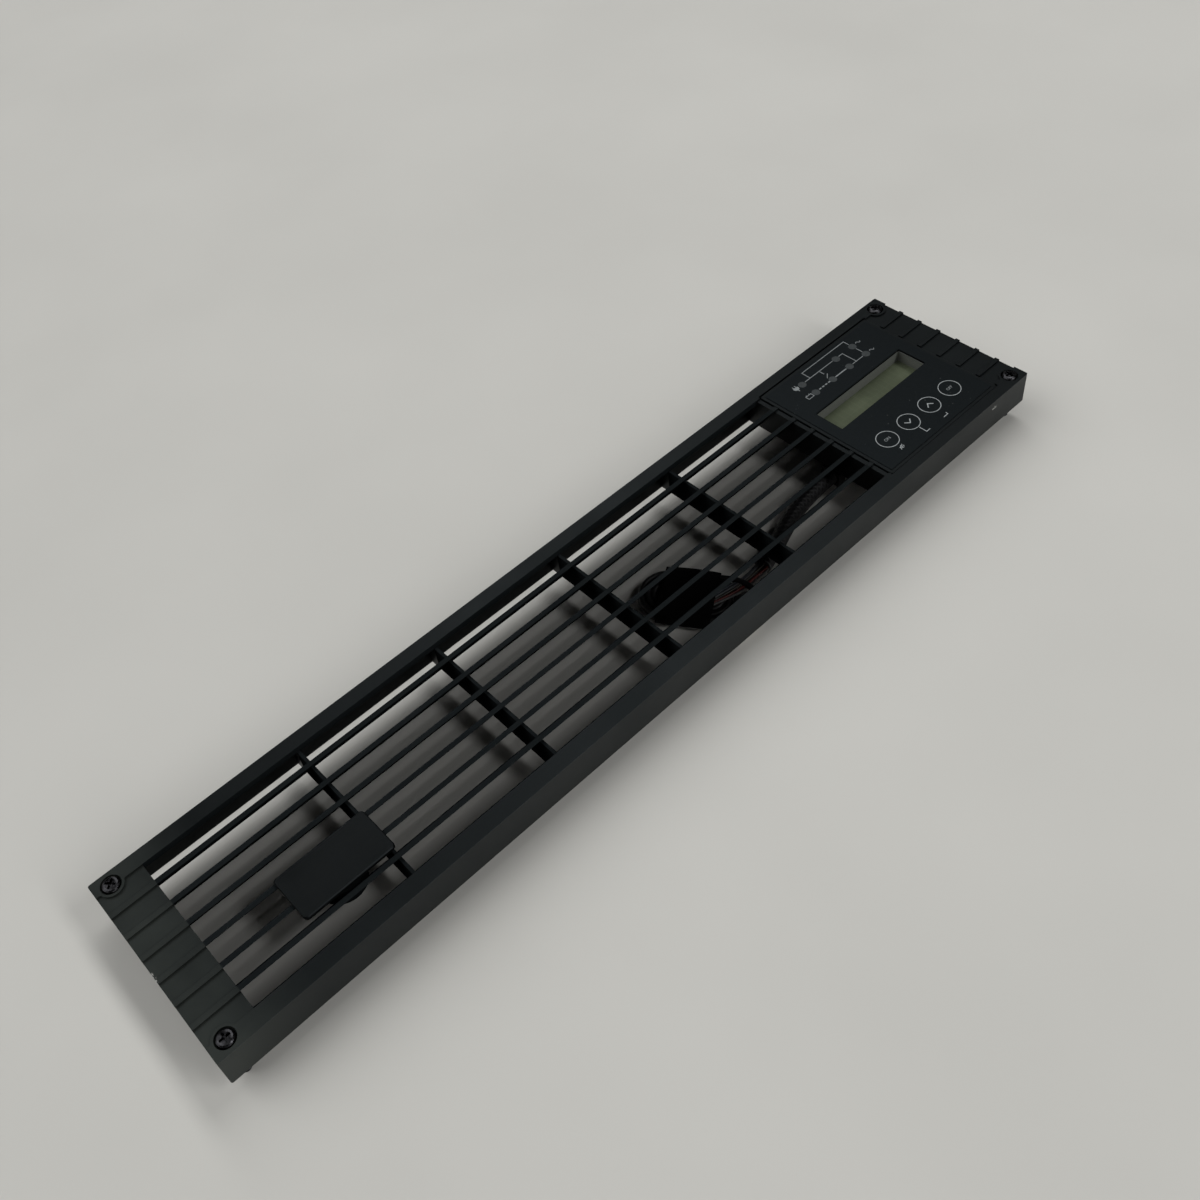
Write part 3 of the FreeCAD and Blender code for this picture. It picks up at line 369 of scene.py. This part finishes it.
# Each turn's end radius in mm, the height of its line and how far its ends stand from the centre.
HANK_TURNS = (
    (11.4, 2.5, 9.1),
    (8.5, 2.4, 8.9),
    (5.7, 2.5, 8.8),
    (5.8, 5.2, 9.0),
    (8.6, 5.1, 8.8),
    (11.3, 5.2, 9.0),
)
TAIL = ((47.3, -14.8, 6.5), (50.0, -20.5, 7.0), (50.8, -27.5, 6.4), (49.6, -33.2, 4.8), (44.5, -33.4, 3.7),
        (41.0, -33.4, 3.7))
# A spline of order 3 runs this much inside control points set 30 degrees apart.
CUT_INSIDE = 0.966
# The strap round the hank: how far it reaches along it, half its width, its height, bulge and thickness.
STRAP_REACH, STRAP_HALF, STRAP_LOW, STRAP_TOP, STRAP_BULGE, STRAP_THICK = 11.8, 13.5, 0.3, 8.5, 0.4, 0.6


def hank_point(along, across, height):
    c, s = math.cos(HANK_TURN), math.sin(HANK_TURN)
    return (HANK_CENTRE[0] + along * c - across * s, HANK_CENTRE[1] + along * s + across * c, height)


def hank_points():
    """Points of the hank's turns, clockwise from where the cable arrives under its lower end."""
    points = []
    for number, (radius, height, stand) in enumerate(HANK_TURNS):
        wide = radius / CUT_INSIDE
        first = 0 if number == 0 else 90
        for angle in range(first, -91, -30):
            a = math.radians(angle)
            points.append(hank_point(stand + wide * math.cos(a), wide * math.sin(a), height))
        points.append(hank_point(0.0, -radius, height))
        for angle in range(-90, -271, -30):
            a = math.radians(angle)
            points.append(hank_point(-stand + wide * math.cos(a), wide * math.sin(a), height))
        later = HANK_TURNS[min(number + 1, len(HANK_TURNS) - 1)]
        points.append(hank_point(0.0, (radius + later[0]) / 2, (height + later[1]) / 2))
    return points


def cable_jacket(name, low, high):
    """Soft PVC wire jacket: low sheen, faint drag lines along the wire."""
    material, tree = start_material(name)
    place = add(tree, "ShaderNodeTexCoord").outputs["Object"]
    drag = add(tree, "ShaderNodeTexNoise", {"Vector": place, "Scale": 1 / (2.0 * MM), "Detail": 3.0})
    tone = two_tones(tree, drag.outputs["Fac"], low, high)
    end_material(tree, add(tree, "ShaderNodeBsdfPrincipled", {
        "Base Color": tone, "Roughness": 0.45, "Specular IOR Level": 0.4}))
    return material


def smooth_curve(name, points):
    """NURBS curve with points in mm as its control points."""
    curve = bpy.data.curves.new(name, "CURVE")
    curve.dimensions = "3D"
    spline = curve.splines.new("NURBS")
    spline.points.add(len(points) - 1)
    for place, point in zip(spline.points, points):
        place.co = (point[0] * MM, point[1] * MM, point[2] * MM, 1.0)
    spline.order_u = 3
    spline.use_endpoint_u = True
    curve.resolution_u = 8
    return curve


def points_along(curve):
    """Points read from the line of a curve that has no thickness yet."""
    carrier = bpy.data.objects.new("carrier", curve)
    mesh = bpy.data.meshes.new_from_object(carrier)
    line = [v.co.copy() for v in mesh.vertices]
    bpy.data.meshes.remove(mesh)
    bpy.data.objects.remove(carrier)
    return line


cable_curve = smooth_curve("harness_wire", list(CABLE_ROUTE) + hank_points() + list(TAIL))
cable_line = points_along(cable_curve)
cable_curve.bevel_depth = CABLE_MM / 2 * MM
cable_curve.bevel_resolution = 3
cable_curve.use_fill_caps = True
cable_curve.materials.append(cable_jacket("black_pvc_jacket", "0B0B0C", "161617"))
cable = bpy.data.objects.new("harness_wire", cable_curve)
scene.collection.objects.link(cable)
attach(cable, "bezel")
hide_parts("harness_hank")


def tube_tree():
    """Geometry nodes: a closed tube of a given radius along the piece's own line."""
    tree = bpy.data.node_groups.new("tube_along_line", "GeometryNodeTree")
    face = tree.interface
    face.new_socket("Geometry", in_out="INPUT", socket_type="NodeSocketGeometry")
    face.new_socket("Radius", in_out="INPUT", socket_type="NodeSocketFloat")
    face.new_socket("Sides", in_out="INPUT", socket_type="NodeSocketInt")
    face.new_socket("Material", in_out="INPUT", socket_type="NodeSocketMaterial")
    face.new_socket("Geometry", in_out="OUTPUT", socket_type="NodeSocketGeometry")
    given = add(tree, "NodeGroupInput").outputs
    line = add(tree, "GeometryNodeMeshToCurve", {"Mesh": given["Geometry"]})
    ring = add(tree, "GeometryNodeCurvePrimitiveCircle", {"Resolution": given["Sides"], "Radius": given["Radius"]})
    along = add(tree, "GeometryNodeSplineParameter")
    around = add(tree, "GeometryNodeSplineParameter")
    kept_line = add(tree, "GeometryNodeStoreNamedAttribute", {
        "Geometry": line.outputs[0], "Name": "along", "Value": along.outputs["Length"]},
        data_type="FLOAT", domain="POINT")
    turn = add(tree, "ShaderNodeMath", {0: around.outputs["Factor"], 1: 2 * math.pi}, operation="MULTIPLY")
    east = add(tree, "ShaderNodeMath", {0: turn.outputs[0]}, operation="COSINE")
    north = add(tree, "ShaderNodeMath", {0: turn.outputs[0]}, operation="SINE")
    kept_east = add(tree, "GeometryNodeStoreNamedAttribute", {
        "Geometry": ring.outputs[0], "Name": "east", "Value": east.outputs[0]}, data_type="FLOAT", domain="POINT")
    kept_north = add(tree, "GeometryNodeStoreNamedAttribute", {
        "Geometry": kept_east.outputs[0], "Name": "north", "Value": north.outputs[0]},
        data_type="FLOAT", domain="POINT")
    tube = add(tree, "GeometryNodeCurveToMesh", {
        "Curve": kept_line.outputs[0], "Profile Curve": kept_north.outputs[0], "Fill Caps": True})
    smooth = add(tree, "GeometryNodeSetShadeSmooth", {"Geometry": tube.outputs[0]})
    real = add(tree, "GeometryNodeRealizeInstances", {"Geometry": smooth.outputs[0]})
    dressed = add(tree, "GeometryNodeSetMaterial", {
        "Geometry": real.outputs[0], "Material": given["Material"]})
    add(tree, "NodeGroupOutput", {"Geometry": dressed.outputs[0]})
    return tree


def grown(mesh, tree, values):
    """Plain mesh that a geometry tree makes from a mesh, with the tree's inputs given by name."""
    carrier = bpy.data.objects.new("carrier", mesh)
    scene.collection.objects.link(carrier)
    modifier = carrier.modifiers.new("grown", "NODES")
    modifier.node_group = tree
    for item in tree.interface.items_tree:
        if item.item_type == "SOCKET" and item.in_out == "INPUT" and item.name in values:
            modifier[item.identifier] = values[item.name]
    view = bpy.context.view_layer
    view.update()
    made = bpy.data.meshes.new_from_object(carrier.evaluated_get(bpy.context.evaluated_depsgraph_get()))
    bpy.data.objects.remove(carrier)
    bpy.data.meshes.remove(mesh)
    return made


def line_of(points):
    mesh = bpy.data.meshes.new("line")
    mesh.from_pydata([tuple(p) for p in points], [(i, i + 1) for i in range(len(points) - 1)], [])
    return mesh


def braid_sleeve():
    """Expandable polyester braid: crossing flat yarns, dull black, each catching a little light."""
    material, tree = start_material("black_polyester_braid")
    along = add(tree, "ShaderNodeAttribute", attribute_name="along").outputs["Fac"]
    east = add(tree, "ShaderNodeAttribute", attribute_name="east").outputs["Fac"]
    north = add(tree, "ShaderNodeAttribute", attribute_name="north").outputs["Fac"]
    turn = add(tree, "ShaderNodeMath", {0: north, 1: east}, operation="ARCTAN2")
    # Real yarns are about 0.25 mm wide; drawn at about 1 mm so that they show.
    yarns = add(tree, "ShaderNodeMath", {0: turn.outputs[0], 1: 8.0}, operation="MULTIPLY")
    steps = add(tree, "ShaderNodeMath", {0: along, 1: 2 * math.pi / (3.0 * MM)}, operation="MULTIPLY")
    waves = []
    for way in ("ADD", "SUBTRACT"):
        sum_of = add(tree, "ShaderNodeMath", {0: steps.outputs[0], 1: yarns.outputs[0]}, operation=way)
        waves.append(add(tree, "ShaderNodeMath", {0: sum_of.outputs[0]}, operation="SINE"))
    top = add(tree, "ShaderNodeMath", {0: waves[0].outputs[0], 1: waves[1].outputs[0]}, operation="MAXIMUM")
    height = add(tree, "ShaderNodeMapRange", {
        "Value": top.outputs[0], "From Min": -1.0, "From Max": 1.0, "To Min": 0.0, "To Max": 1.0})
    tone = two_tones(tree, height.outputs[0], "060606", "1B1B1D", (0.4, 0.95))
    relief = add(tree, "ShaderNodeBump", {"Height": height.outputs[0], "Strength": 0.6, "Distance": 0.3 * MM})
    end_material(tree, add(tree, "ShaderNodeBsdfPrincipled", {
        "Base Color": tone, "Roughness": 0.55, "Specular IOR Level": 0.4, "Normal": relief.outputs[0]}))
    return material


tube = tube_tree()
# The sleeve covers the cable from the plug on and ends in a pale hem.
sleeve_line = [p for p in cable_line if p.x > SLEEVE_END_X * MM]
sleeve = finished("harness_sleeve", grown(line_of(sleeve_line), tube, {
    "Radius": SLEEVE_RADIUS * MM, "Sides": 24, "Material": braid_sleeve()}), None, "bezel")
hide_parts("harness_cable")
back = (sleeve_line[-2] - sleeve_line[-1]).normalized()
hem = finished("sleeve_hem", grown(line_of([sleeve_line[-1] + back * step * MM for step in (0.3, 0.9)]), tube, {
    "Radius": HEM_RADIUS * MM, "Sides": 24, "Material": cable_jacket("grey_heat_shrink", "4A4D4E", "5A5D5E")}),
    None, "bezel")

# Bare wires from inside the sleeve's end, over the hank's lower end and under its strap: jacket colours, points
# and thickness in mm.
BARE_WIRES = (
    ("red_wire", "4A120C", "5C1810",
     ((67.0, -22.3, 4.9), (58.0, -22.6, 5.2), (51.0, -23.2, 5.8), (41.0, -22.9, 7.3), (33.5, -20.4, 7.2)), 1.2),
    # The white and yellow jackets are coloured dark grey and near black: painted shade over their own colours.
    ("white_wire", "4A4A48", "585856",
     ((67.0, -22.5, 3.9), (58.0, -24.0, 4.4), (51.0, -24.6, 5.2), (42.0, -24.2, 7.2), (32.6, -21.2, 7.2)), 1.1),
    ("yellow_wire", "221E15", "2A251A",
     ((67.0, -20.8, 6.6), (58.0, -21.7, 6.3), (51.0, -22.0, 6.5), (42.0, -21.5, 7.3), (34.4, -19.6, 7.2)), 1.0),
    ("grey_wire", "2E3032", "3A3C3E",
     ((67.0, -19.3, 6.6), (58.0, -20.4, 5.9), (51.0, -20.8, 6.1), (43.0, -20.2, 7.3), (35.4, -18.8, 7.2)), 1.2),
    ("blue_wire", "10161F", "161E2A",
     ((67.0, -18.0, 5.4), (58.0, -19.2, 5.3), (52.0, -19.6, 5.7), (44.0, -18.8, 7.2), (36.6, -18.0, 7.2)), 1.0),
)
for name, low, high, points, thick in BARE_WIRES:
    wire_curve = smooth_curve(name, points)
    finished(name, grown(line_of(points_along(wire_curve)), tube, {
        "Radius": thick / 2 * MM, "Sides": 10,
        "Material": cable_jacket(name.replace("wire", "pvc_jacket"), low, high)}), None, "bezel")
    bpy.data.curves.remove(wire_curve)


def strap_fabric():
    """Black hook-and-loop strap: short nylon fuzz that swallows light."""
    material, tree = start_material("black_hook_and_loop_nylon")
    place = add(tree, "ShaderNodeTexCoord").outputs["Object"]
    # The loops are about 0.2 mm; drawn at 0.5 mm so that they show.
    fuzz = add(tree, "ShaderNodeTexNoise", {"Vector": place, "Scale": 1 / (0.5 * MM), "Detail": 2.0})
    tone = two_tones(tree, fuzz.outputs["Fac"], "040404", "0A0A0A")
    relief = add(tree, "ShaderNodeBump", {"Height": fuzz.outputs["Fac"], "Strength": 0.3, "Distance": 0.2 * MM})
    end_material(tree, add(tree, "ShaderNodeBsdfPrincipled", {
        "Base Color": tone, "Roughness": 0.9, "Specular IOR Level": 0.08, "Normal": relief.outputs[0]}))
    return material


def strap_loop():
    """Wide strap pulled round the hank: a closed loop with soft corners that bulges a little in its middle."""
    shape = bmesh.new()
    sides, rows = 64, 9
    skins = []
    for depth in (0.0, STRAP_THICK):
        skin = []
        for row in range(rows):
            along = STRAP_REACH * (2 * row / (rows - 1) - 1)
            bulge = STRAP_BULGE * (1 - (along / STRAP_REACH) ** 2)
            half, top, low = STRAP_HALF + bulge - depth, STRAP_TOP + bulge - depth, STRAP_LOW + depth
            ring = []
            for i in range(sides):
                c, s = math.cos(2 * math.pi * i / sides), math.sin(2 * math.pi * i / sides)
                across = half * math.copysign(abs(c) ** (1 / 3), c)
                height = (top + low) / 2 + (top - low) / 2 * math.copysign(abs(s) ** (1 / 3), s)
                ring.append(shape.verts.new(Vector(hank_point(along, across, height)) * MM))
            skin.append(ring)
        skins.append(skin)
    outer, inner = skins
    for one, other in (*zip(outer, outer[1:]), *zip(inner, inner[1:]), (outer[0], inner[0]), (outer[-1], inner[-1])):
        for i in range(sides):
            j = (i + 1) % sides
            shape.faces.new((one[i], one[j], other[j], other[i])).smooth = True
    bmesh.ops.recalc_face_normals(shape, faces=shape.faces)
    mesh = bpy.data.meshes.new("hank_strap")
    shape.to_mesh(mesh)
    shape.free()
    return mesh


strap = finished("hank_strap", strap_loop(), strap_fabric(), "bezel")
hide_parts("hank_tie")


# Captive corner screws: one turned screw, repeated at the four bosses.
def turned(profile, sides):
    """Closed mesh turned round Z from (radius, height) points that start and end on the axis."""
    shape = bmesh.new()
    rings = []
    for radius, height in profile:
        if radius == 0:
            rings.append([shape.verts.new((0, 0, height * MM))])
        else:
            rings.append([shape.verts.new((radius * math.cos(2 * math.pi * i / sides) * MM,
                                           radius * math.sin(2 * math.pi * i / sides) * MM, height * MM))
                          for i in range(sides)])
    for low, high in zip(rings, rings[1:]):
        for i in range(sides):
            j = (i + 1) % sides
            corners = [low[i % len(low)], low[j % len(low)], high[j % len(high)], high[i % len(high)]]
            shape.faces.new(list(dict.fromkeys(corners)))
    bmesh.ops.recalc_face_normals(shape, faces=shape.faces)
    return shape


def corner_screw():
    """Pan head with a cross recess on a waisted, threaded shank."""
    profile = [(0, 0.0), (1.1, 0.0), (1.5, 0.5)]
    for step in range(11):
        profile += [(1.55, 0.6 + 0.7 * step), (2.0, 0.9 + 0.7 * step), (2.0, 1.0 + 0.7 * step)]
    profile += [(1.55, 8.3), (1.55, 22.9), (3.3, 22.9), (3.5, 23.1), (3.5, 23.9), (3.42, 24.3), (3.15, 24.75),
                (2.7, 25.05), (2.0, 25.22), (1.0, 25.29), (0, 25.3)]
    shape = turned(profile, 32)
    mesh = bpy.data.meshes.new("corner_screw")
    shape.to_mesh(mesh)
    shape.free()
    body = bpy.data.objects.new("corner_screw", mesh)
    scene.collection.objects.link(body)
    recess = bmesh.new()
    for turn in (0, 90):
        wall = bmesh.ops.create_cube(recess, size=1.0)["verts"]
        for v in wall:
            # The wings taper towards the floor of the recess.
            taper = 1.0 if v.co.z > 0 else 0.62
            v.co = Vector((v.co.x * 4.6 * taper, v.co.y * 1.0 * taper, 23.9 if v.co.z < 0 else 25.6)) * MM
        bmesh.ops.rotate(recess, verts=wall, cent=(0, 0, 0), matrix=Matrix.Rotation(math.radians(turn), 3, "Z"))
    cutter_mesh = bpy.data.meshes.new("recess")
    recess.to_mesh(cutter_mesh)
    recess.free()
    cutter = bpy.data.objects.new("recess", cutter_mesh)
    scene.collection.objects.link(cutter)
    cut = body.modifiers.new("cross", "BOOLEAN")
    cut.object, cut.operation, cut.solver, cut.use_self = cutter, "DIFFERENCE", "EXACT", True
    bpy.context.view_layer.update()
    made = bpy.data.meshes.new_from_object(body.evaluated_get(bpy.context.evaluated_depsgraph_get()))
    for spent in (body, cutter):
        bpy.data.objects.remove(spent)
    return made


def four_corners_tree():
    """Geometry nodes: the given screw at the corners of a rectangle."""
    tree = bpy.data.node_groups.new("four_corners", "GeometryNodeTree")
    face = tree.interface
    face.new_socket("Geometry", in_out="INPUT", socket_type="NodeSocketGeometry")
    for name in ("Length", "Height", "Turn"):
        face.new_socket(name, in_out="INPUT", socket_type="NodeSocketFloat")
    face.new_socket("Material", in_out="INPUT", socket_type="NodeSocketMaterial")
    face.new_socket("Geometry", in_out="OUTPUT", socket_type="NodeSocketGeometry")
    given = add(tree, "NodeGroupInput").outputs
    corners = add(tree, "GeometryNodeMeshGrid", {
        "Size X": given["Length"], "Size Y": given["Height"], "Vertices X": 2, "Vertices Y": 2})
    order = add(tree, "GeometryNodeInputIndex")
    turned_by = add(tree, "ShaderNodeMath", {0: order.outputs[0], 1: given["Turn"]}, operation="MULTIPLY")
    turn = add(tree, "ShaderNodeCombineXYZ", {"Z": turned_by.outputs[0]})
    placed = add(tree, "GeometryNodeInstanceOnPoints", {
        "Points": corners.outputs["Mesh"], "Instance": given["Geometry"], "Rotation": turn.outputs[0]})
    real = add(tree, "GeometryNodeRealizeInstances", {"Geometry": placed.outputs[0]})
    dressed = add(tree, "GeometryNodeSetMaterial", {"Geometry": real.outputs[0], "Material": given["Material"]})
    add(tree, "NodeGroupOutput", {"Geometry": dressed.outputs[0]})
    return tree


# Blackened steel: dark, fairly glossy, so that the heads flash.
black_steel = screw_steel("black_oxide_steel", "262628", "38383A", 0.26)
put(black_steel, "corner_screws")
screws = finished("corner_screw_set", grown(corner_screw(), four_corners_tree(), {
    "Length": 425 * MM, "Height": 77 * MM, "Turn": 0.7, "Material": black_steel}), None, "bezel")
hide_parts("corner_screws")


# Print on the film: closed flat shapes a hair above it.
FILM_TOP = 24.2
INK_MM = 0.03


class Print:
    """Collects flat ink shapes as closed prisms."""

    def __init__(self):
        self.shape = bmesh.new()

    def prism(self, outline, hole=None):
        low, high = (FILM_TOP - 0.01) * MM, (FILM_TOP + INK_MM) * MM
        rings = []
        for ring in [outline] + ([hole] if hole else []):
            rings.append([[self.shape.verts.new((x * MM, y * MM, z)) for x, y in ring] for z in (low, high)])
        count = len(outline)
        for ring in rings:
            for i in range(count):
                j = (i + 1) % count
                self.shape.faces.new((ring[0][i], ring[0][j], ring[1][j], ring[1][i]))
        for level in (0, 1):
            if hole:
                for i in range(count):
                    j = (i + 1) % count
                    self.shape.faces.new((rings[0][level][i], rings[0][level][j],
                                          rings[1][level][j], rings[1][level][i]))
            else:
                self.shape.faces.new(rings[0][level])

    def stroke(self, points, width):
        """A line of even width with mitred corners."""
        points = [Vector(p) for p in points]
        left, right = [], []
        for i, p in enumerate(points):
            into = (p - points[i - 1]).normalized() if i else None
            out = (points[i + 1] - p).normalized() if i + 1 < len(points) else None
            into, out = into or out, out or into
            mitre = (into + out).normalized()
            side = Vector((-mitre.y, mitre.x)) * (width / 2 / max(0.35, mitre.dot(out)))
            left.append(p + side)
            right.append(p - side)
        for i in range(len(points) - 1):
            self.prism([left[i], right[i], right[i + 1], left[i + 1]])

    def disc(self, x, y, radius, sides=24):
        self.prism([(x + radius * math.cos(2 * math.pi * i / sides), y + radius * math.sin(2 * math.pi * i / sides))
                    for i in range(sides)])

    def ring(self, x, y, radius, width, sides=48):
        turns = [2 * math.pi * i / sides for i in range(sides)]
        self.prism([(x + radius * math.cos(a), y + radius * math.sin(a)) for a in turns],
                   [(x + (radius - width) * math.cos(a), y + (radius - width) * math.sin(a)) for a in turns])

    def word(self, text, x, y, size):
        """Generic key lettering from the built-in face, centred on a point."""
        curve = bpy.data.curves.new("word", "FONT")
        curve.body, curve.size = text, size * MM
        curve.align_x, curve.align_y = "CENTER", "CENTER"
        curve.extrude = (INK_MM + 0.01) / 2 * MM
        carrier = bpy.data.objects.new("word", curve)
        mesh = bpy.data.meshes.new_from_object(carrier)
        mesh.transform(Matrix.Translation((x * MM, y * MM, (FILM_TOP + (INK_MM - 0.01) / 2) * MM)))
        self.shape.from_mesh(mesh)
        bpy.data.meshes.remove(mesh)
        bpy.data.objects.remove(carrier)

    def done(self, name, material):
        bmesh.ops.remove_doubles(self.shape, verts=self.shape.verts, dist=1e-7)
        bmesh.ops.recalc_face_normals(self.shape, faces=self.shape.faces)
        mesh = bpy.data.meshes.new(name)
        self.shape.to_mesh(mesh)
        self.shape.free()
        return finished(name, mesh, material, "bezel")


KEY_Y = -23.2
KEY_X = (143.4, 158.4, 173.4, 188.4)
LAMPS = ((147.0, 29.0), (147.0, 20.8), (159.1, 20.8), (171.2, 29.0), (171.2, 20.8), (183.3, 29.0), (183.3, 20.8))

key_print = Print()
for x in KEY_X:
    key_print.ring(x, KEY_Y, 5.3, 0.34)
key_print.stroke(((KEY_X[1] - 1.9, KEY_Y + 0.9), (KEY_X[1], KEY_Y - 1.0), (KEY_X[1] + 1.9, KEY_Y + 0.9)), 0.5)
key_print.stroke(((KEY_X[2] - 1.9, KEY_Y - 0.9), (KEY_X[2], KEY_Y + 1.0), (KEY_X[2] + 1.9, KEY_Y - 0.9)), 0.5)
# Speaker with a stroke through it.
key_print.prism([(142.5, -31.3), (143.1, -31.3), (144.0, -32.0), (144.0, -29.7), (143.1, -30.4), (142.5, -30.4)])
key_print.stroke(((144.5, -31.5), (144.9, -30.85), (144.5, -30.2)), 0.28)
key_print.stroke(((142.2, -31.9), (145.0, -29.7)), 0.28)
# Bracket that joins the two arrow keys.
key_print.stroke(((158.6, -28.9), (158.6, -33.0), (161.0, -33.0)), 0.34)
key_print.stroke(((171.0, -33.0), (173.9, -33.0), (173.9, -31.8)), 0.34)
key_print.done("key_print", pale_ink)

key_words = Print()
key_words.word("ON", KEY_X[0], KEY_Y, 2.3)
key_words.word("OFF", KEY_X[3], KEY_Y, 2.1)
key_words.done("key_words", dim_ink)

status_print = Print()
status_print.stroke(((153.0, 29.3), (153.0, 34.5), (183.3, 34.5), (183.3, 31.2)), 0.36)
status_print.stroke(((183.3, 26.8), (183.3, 23.0)), 0.36)
status_print.stroke(((149.3, 29.3), (169.0, 29.3)), 0.36)
status_print.stroke(((173.5, 29.3), (176.2, 29.3), (176.2, 21.0)), 0.36)
status_print.stroke(((159.3, 29.3), (159.3, 26.2)), 0.36)
status_print.stroke(((158.0, 23.2), (160.6, 25.4)), 0.36)
for x in (149.6, 151.7, 153.8, 155.9):
    status_print.stroke(((x, 20.9), (x + 1.3, 20.9)), 0.7)
status_print.stroke(((161.2, 20.9), (168.9, 20.9)), 0.6)
status_print.stroke(((173.5, 20.8), (181.0, 20.8)), 0.36)
for y in (29.2, 20.8):
    status_print.stroke([(186.2 + 0.35 * i, y + 0.6 * math.sin(i * math.pi / 4)) for i in range(9)], 0.34)
# Mains plug: two pins, a body and a lead.
status_print.prism([(142.1, 28.0), (143.9, 28.0), (144.5, 29.0), (144.5, 30.0), (141.5, 30.0), (141.5, 29.0)])
status_print.stroke(((142.3, 30.0), (142.3, 31.2)), 0.4)
status_print.stroke(((143.7, 30.0), (143.7, 31.2)), 0.4)
status_print.stroke(((143.0, 28.0), (143.0, 26.9)), 0.4)
# Battery: a box with two poles.
status_print.stroke(((141.3, 19.9), (144.7, 19.9), (144.7, 22.0), (141.3, 22.0), (141.3, 19.9)), 0.35)
status_print.stroke(((142.1, 22.1), (142.1, 22.6)), 0.5)
status_print.stroke(((143.9, 22.1), (143.9, 22.6)), 0.5)
status_print.done("status_print", dim_ink)

lamp_print = Print()
for x, y in LAMPS:
    lamp_print.disc(x, y, 2.0)
lamp_print.done("lamp_print", lamp_ink)


# Table, light and surroundings.
def table_laminate():
    """Pale matt laminate with hardly any tone of its own."""
    material, tree = start_material("pale_matt_laminate")
    place = add(tree, "ShaderNodeTexCoord").outputs["Object"]
    cloud = add(tree, "ShaderNodeTexNoise", {"Vector": place, "Scale": 6.0, "Detail": 3.0})
    tone = two_tones(tree, cloud.outputs["Fac"], "C3C2BD", "C7C6C1")
    end_material(tree, add(tree, "ShaderNodeBsdfPrincipled", {
        "Base Color": tone, "Roughness": 0.7, "Specular IOR Level": 0.2}))
    return material


floor_mesh = bpy.data.meshes.new("table_top")
floor_mesh.from_pydata([(-4, -4, 0), (4, -4, 0), (4, 4, 0), (-4, 4, 0)], [], [(0, 1, 2, 3)])
floor_mesh.materials.append(table_laminate())
floor = bpy.data.objects.new("table_top", floor_mesh)
scene.collection.objects.link(floor)

# Long ceiling strips to the right, which run along Y: lean off the vertical, angles where the strip starts and ends
# along Y, its width as an angle, and power.
STRIP_AWAY = 6.0
for name, lean, start, end, width, power in (
        ("front_strip", 24, -62, -27, 12, 362),
        ("middle_strip", 27, -5, 20, 12, 65),
        ("rear_strip", 27, 20, 58, 14, 115)):
    strip = bpy.data.lights.new(name, "AREA")
    strip.shape, strip.energy = "RECTANGLE", power
    first, last = (STRIP_AWAY * math.tan(math.radians(angle)) for angle in (start, end))
    strip.size, strip.size_y = 2 * STRIP_AWAY * math.tan(math.radians(width / 2)), last - first
    lamp = bpy.data.objects.new(name, strip)
    turn = math.radians(lean)
    lamp.location = (STRIP_AWAY * math.sin(turn), (first + last) / 2, STRIP_AWAY * math.cos(turn))
    lamp.rotation_euler = (0.0, turn, 0.0)
    scene.collection.objects.link(lamp)

# Broad soft light from the room: strength and width in degrees.
for name, towards, strength, width in (
        ("rear_left_light", (-0.552, 0.497, 0.669), 1.19, 56),
        ("upper_left_light", (-0.352, 0.203, 0.914), 0.43, 56),
        ("front_light", (0.0, -0.966, 0.259), 0.76, 50)):
    lamp_data = bpy.data.lights.new(name, "SUN")
    lamp_data.energy, lamp_data.angle = strength, math.radians(width)
    lamp = bpy.data.objects.new(name, lamp_data)
    lamp.rotation_mode = "QUATERNION"
    lamp.rotation_quaternion = Vector(towards).to_track_quat("Z", "Y")
    scene.collection.objects.link(lamp)

world = bpy.data.worlds.new("room")
world.use_nodes = True
world.node_tree.nodes.clear()
sky = add(world.node_tree, "ShaderNodeBackground", {"Color": colour("FBFBFA"), "Strength": 0.04})
add(world.node_tree, "ShaderNodeOutputWorld", {"Surface": sky.outputs[0]})
scene.world = world
